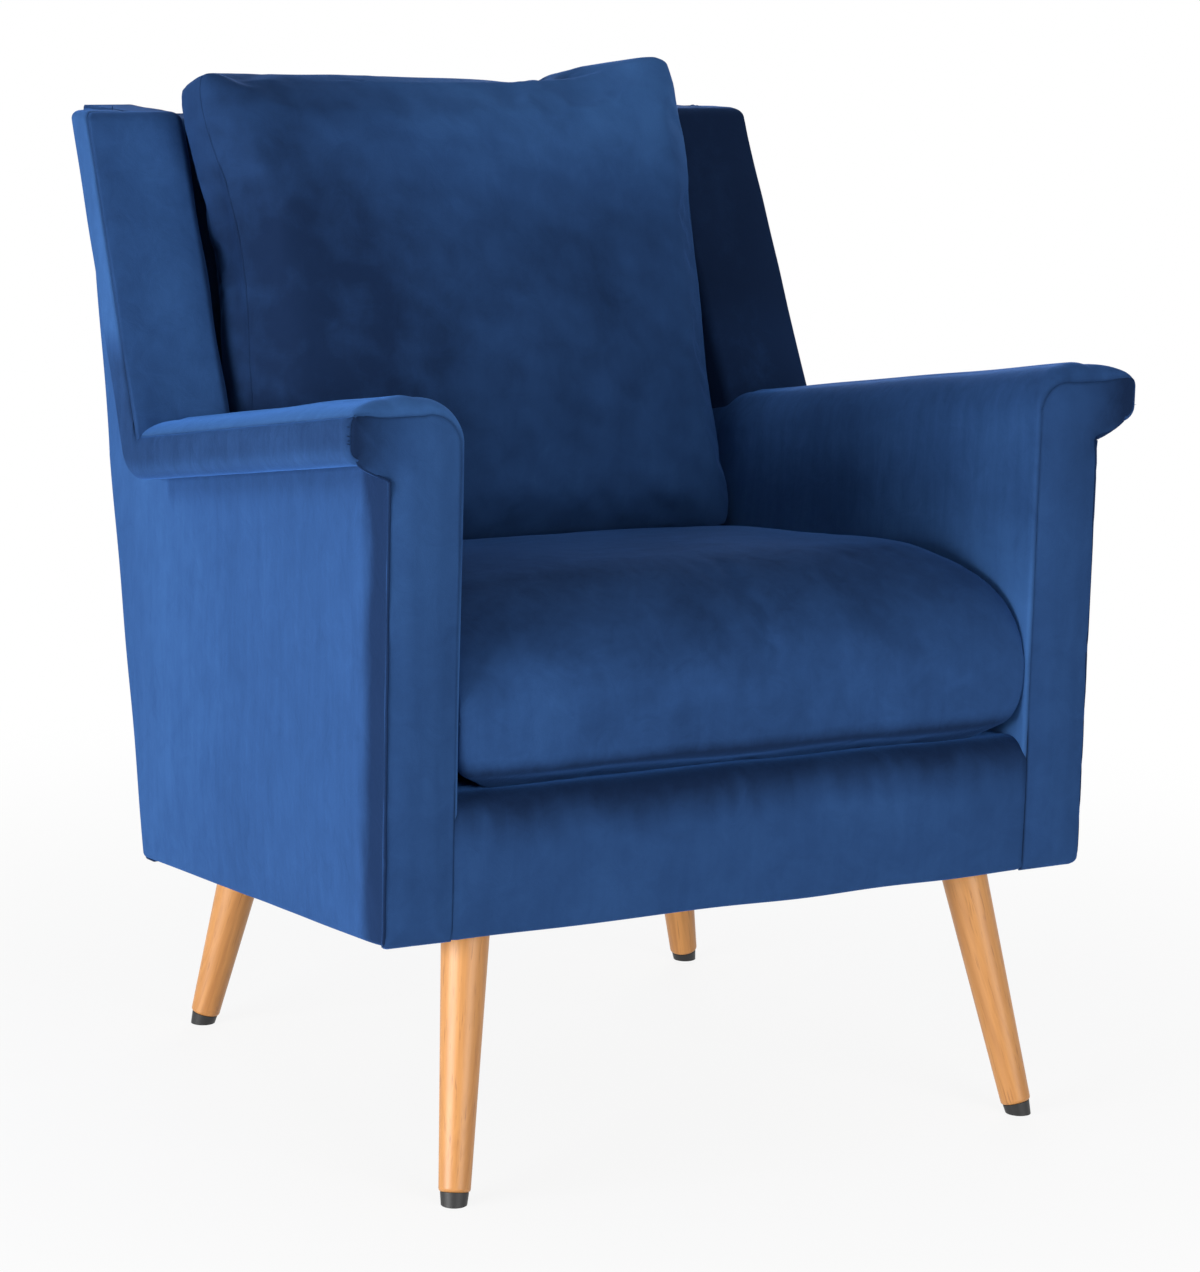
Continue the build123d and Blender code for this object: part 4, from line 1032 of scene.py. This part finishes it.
def inflated(piece, shape):
    # even voxels, then cloth blown up by pressure and held within the cap
    bpy.ops.object.select_all(action="DESELECT")
    bpy.context.view_layer.objects.active = piece
    piece.select_set(True)
    piece.data.remesh_voxel_size = shape["voxel"]
    bpy.ops.object.voxel_remesh()
    rest = pointsOf(piece.data)
    cloth = piece.modifiers.new("blown", "CLOTH")
    cloth.settings.use_pressure = True
    cloth.settings.uniform_pressure_force = shape["pressure"]
    cloth.settings.effector_weights.gravity = 0
    cloth.settings.quality = 4
    cloth.point_cache.frame_start, cloth.point_cache.frame_end = 1, blowFrames
    for f in range(1, blowFrames + 1):
        scene.frame_set(f)
    step = pointsOf(piece.evaluated_get(bpy.context.evaluated_depsgraph_get()).data) - rest
    piece.modifiers.clear()
    scene.frame_set(1)
    size = np.linalg.norm(step, axis=1, keepdims=True)
    rest = rest + step * np.minimum(1, shape["cap"] / np.maximum(size, 1e-9))
    piece.data.vertices.foreach_set("co", rest.astype(np.float32).ravel())
    piece.data.update()
    return rest


def cordAlong(tree, line, radius=0.0013):
    # a sewn edge: a fine round ridge along the line, laid on the surface and sunk in at both ends
    spot = np.array(line)
    for _ in range(2):
        hits = [tree.find_nearest(Vector(p)) for p in spot]
        spot, up = (np.array([tuple(h[k]) for h in hits]) for k in (0, 1))
        for _ in range(6):
            for row in (spot, up):
                row[1:-1] = (row[:-2] + 2 * row[1:-1] + row[2:]) / 4
    along = np.gradient(spot, axis=0)
    along /= np.linalg.norm(along, axis=1, keepdims=True)
    count = np.arange(len(line))
    spot = spot - up * (0.0005 + 0.007 * np.clip(1 - np.minimum(count, count[::-1]) / 5, 0, 1))[:, None]
    turn = np.linspace(0, 2 * math.pi, 9)[:-1, None]
    ring = spot[:, None] + radius * (np.cos(turn) * np.cross(along, up)[:, None] + np.sin(turn) * up[:, None])
    i = np.arange(len(line) * 8).reshape(-1, 8)
    j = np.roll(i, -1, 1)
    walls = np.stack([i[:-1], j[:-1], j[1:], i[1:]], -1).reshape(-1, 4)
    return ring.reshape(-1, 3), walls.tolist() + [i[0][::-1].tolist(), i[-1].tolist()]


def finishCushion(piece, points, lines):
    # the blown-up form and its sewn edges made one mesh, and smoothed
    faces = [list(f.vertices) for f in piece.data.polygons]
    tree = BVHTree.FromPolygons(points.tolist(), faces)
    verts, count = [points], len(points)
    for line in lines:
        ring, sides = cordAlong(tree, line)
        faces += [[k + count for k in f] for f in sides]
        verts.append(ring)
        count += len(ring)
    mesh = bpy.data.meshes.new(piece.name)
    mesh.from_pydata(np.concatenate(verts).tolist(), [], faces)
    setValues(mesh, "seam", np.where(np.arange(count) < len(points), 0, 0.25))
    smoothShade(mesh)
    piece.data = mesh
    fine = piece.modifiers.new("fine", "SUBSURF")
    fine.levels = fine.render_levels = 1


def seatTopZ(x, y):
    # height of the seat cushion's top, by the same formula as its form
    look = seatShape
    v0, v1 = look["span"]
    half = (v1 - v0) / 2
    v = (y - frontY) / flat("seatTilt") - 0.15 * slope("seatTilt")
    p, q = np.clip(x / sideRoom(y), -1, 1), np.clip((v - (v0 + v1) / 2) / half, -1, 1)
    top = rise(sideRoom(y) * (1 - np.abs(p)), look["sideReach"], 2.3) * rise(half * (1 - q), look["farReach"], 2.3)
    w = look["edge"] + (look["box"] - look["edge"]) * top + crownAt(look, p, q) * top
    return chair["deckFront"] - v * steep("seatTilt") + w * flat("seatTilt") + 0.002


def roomFor(points, look, clear=0.0008):
    # pressed flat against the sides and whatever carries it
    x, y, z = points.T
    free = np.minimum(z - armZ(y), wingY(z) - y)
    free = np.maximum(free, frontY - 0.004 - y)
    room = sideRoom(y) - clear + 0.02 * smoothStep(free, 0, 0.02)
    x = np.clip(x, -room, room)
    y0, z0 = look["start"]
    outY, outZ = cushionAxes(look)[1]
    lift = np.maximum(clear - (y - y0) * outY - (z - z0) * outZ, 0)
    y, z = y + lift * outY, z + lift * outZ
    if look["stands"]:
        z = np.maximum(z, seatTopZ(x, y) + 0.001)
    return spots(x, y, z)


for name, look, middle, fill, body, seed, nap in (
    ("seatCushion", seatShape, (0, -0.1, 0.40), 0.8, "seat_cushion", 61, seatNapAndShade),
    ("backCushion", backShapeLoose, (0, 0.14, 0.64), 0.65, "back_cushion", 71, backNapAndShade),
):
    form = cushionForm(look, 0.005)
    piece = joinedGrids(name, form, lambda p: middle, 0.0003)
    points = inflated(piece, look)
    uneven = 0.0012 * waves(points, seed, 0.11)
    points = roomFor(points + pointsOf(piece.data, "normal") * uneven[:, None], look)
    finishCushion(piece, points, [form[0][k, 3:-3] for k in (0, -1)])
    dress(piece, name, [body + "_cover", body + "_core"], body=body, nap=nap)
    print(name, "made:", len(points), "points")


# carried-over nodes: legs, glides, hardware and the frame inside
def repaint(name, material):
    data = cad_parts[name].data
    data.materials.clear()
    data.materials.append(material)


legFeet = {"front": (0.271, -0.3595), "rear": (0.254, 0.17444)}
for side, label in bothSides:
    for end, (footX, footY) in legFeet.items():
        head = sum((Vector(c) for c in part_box(f"{label}_{end}_leg")), Vector()) / 2
        grain = head - Vector((side * footX, footY, 0))
        repaint(f"{label}_{end}_leg", legWood(f"{label}{end.title()}LegWood", grain, tuple(head)))
        repaint(f"{label}_{end}_foot_glide", finishes["glide"])
inside = {"steel": ("hanger_bolts", "plate_screws", "leg_plates"), "webbing": ("webbing",), "board": ("_board",),
          "timber": ("_post", "_rail", "_blocks")}
for finish, endings in inside.items():
    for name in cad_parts:
        if name.endswith(endings):
            repaint(name, finishes[finish])
print("legs and hardware dressed")

# stage, light and camera
stageLook = {"floor": (0.90, 0.90, 0.90), "size": 12.0, "near": 0.35, "far": 1.5, "glow": 0.88, "sky": 0.16}
plainWhite = (1, 1, 1, 1)


def seenRays(tree):
    # 1 for camera, glossy and transmission rays
    ray = node(tree, "LightPath").node.outputs
    either = node(tree, "Math", {0: ray["Is Camera Ray"], 1: ray["Is Glossy Ray"]}, operation="MAXIMUM")
    return node(tree, "Math", {0: either, 1: ray["Is Transmission Ray"]}, operation="MAXIMUM")


def whiteStage(name):
    # pale floor that keeps the shadow near the chair and passes into the white of the background further out
    material, tree, shader = newMaterial(name)
    wire(tree, shader, {"Base Color": (*stageLook["floor"], 1), "Roughness": 0.9, "Specular IOR Level": 0.1})
    length = node(tree, "VectorMath", {0: placed(tree)}, "Value", operation="LENGTH")
    fade = mapped(tree, length, stageLook["glow"], 1.0, stageLook["near"], stageLook["far"],
                  interpolation_type="SMOOTHSTEP")
    share = node(tree, "Math", {0: seenRays(tree), 1: fade}, operation="MULTIPLY")
    glow = node(tree, "Emission", {"Color": plainWhite, "Strength": 1.0})
    mix = node(tree, "MixShader", {"Fac": share, 1: shader.outputs[0], 2: glow})
    wire(tree, tree.nodes["Material Output"], {"Surface": mix})
    return material


floorGrid = np.array([[-1, -1, 0], [1, -1, 0], [1, 1, 0], [-1, 1, 0]], float) * stageLook["size"]
floor = meshFrom("floor", floorGrid, np.array([[0, 1, 2, 3]]))
floor.data.materials.append(whiteStage("paleFloor"))

world = bpy.data.worlds.new("studio")
scene.world = world
world.use_nodes = True
tree = world.node_tree
sky = tree.nodes["Background"]
wire(tree, sky, {"Color": plainWhite, "Strength": stageLook["sky"]})
bright = node(tree, "Background", {"Color": plainWhite, "Strength": 1.0})
pick = node(tree, "MixShader", {"Fac": seenRays(tree), 1: sky.outputs[0], 2: bright})
wire(tree, tree.nodes["World Output"], {"Surface": pick})

lamps = {
    "sideLamp": {"spot": (-3.2, -0.7, 0.62), "aim": (0, 0, 0.45), "size": (2.2, 1.1), "power": 120},
    "frontLamp": {"spot": (0.5, -3.6, 1.0), "aim": (0, 0, 0.45), "size": (2.2, 1.6), "power": 66},
    "topLamp": {"spot": (0.0, 0.6, 3.2), "aim": (0, 0, 0.5), "size": (2.6, 2.6), "power": 14},
    "rearLamp": {"spot": (2.2, 2.9, 1.4), "aim": (0, 0, 0.45), "size": (2.0, 1.6), "power": 40},
}
for name, look in lamps.items():
    light = bpy.data.lights.new(name, "AREA")
    light.shape, (light.size, light.size_y) = "RECTANGLE", look["size"]
    light.energy = look["power"]
    lamp = bpy.data.objects.new(name, light)
    lamp.location = look["spot"]
    lamp.rotation_euler = (Vector(look["aim"]) - Vector(look["spot"])).to_track_quat("-Z", "Y").to_euler()
    scene.collection.objects.link(lamp)

# focal length in pixels of the photograph's height
cameraLook = {"spot": (-1.597, -2.9135, 1.020), "azimuth": -29.51, "pitch": 11.05, "roll": 1.39,
              "focal": 3834.0, "high": 1272, "sensor": 36.0}
a, e, r = (math.radians(cameraLook[k]) for k in ("azimuth", "pitch", "roll"))
ahead = Vector((-math.sin(a) * math.cos(e), math.cos(a) * math.cos(e), -math.sin(e)))
right = Vector((math.cos(a), math.sin(a), 0))
up = right.cross(ahead)
right, up = right * math.cos(r) + up * math.sin(r), -right * math.sin(r) + up * math.cos(r)
camera = bpy.data.cameras.new("photoCamera")
camera.sensor_fit, camera.sensor_width = "AUTO", cameraLook["sensor"]
camera.lens = cameraLook["focal"] / cameraLook["high"] * cameraLook["sensor"]
eye = bpy.data.objects.new("photoCamera", camera)
eye.matrix_world = Matrix.Translation(cameraLook["spot"]) @ Matrix((right, up, -ahead)).transposed().to_4x4()
scene.collection.objects.link(eye)
scene.camera = eye
scene.view_settings.view_transform = "Standard"
print("stage, light and camera set")
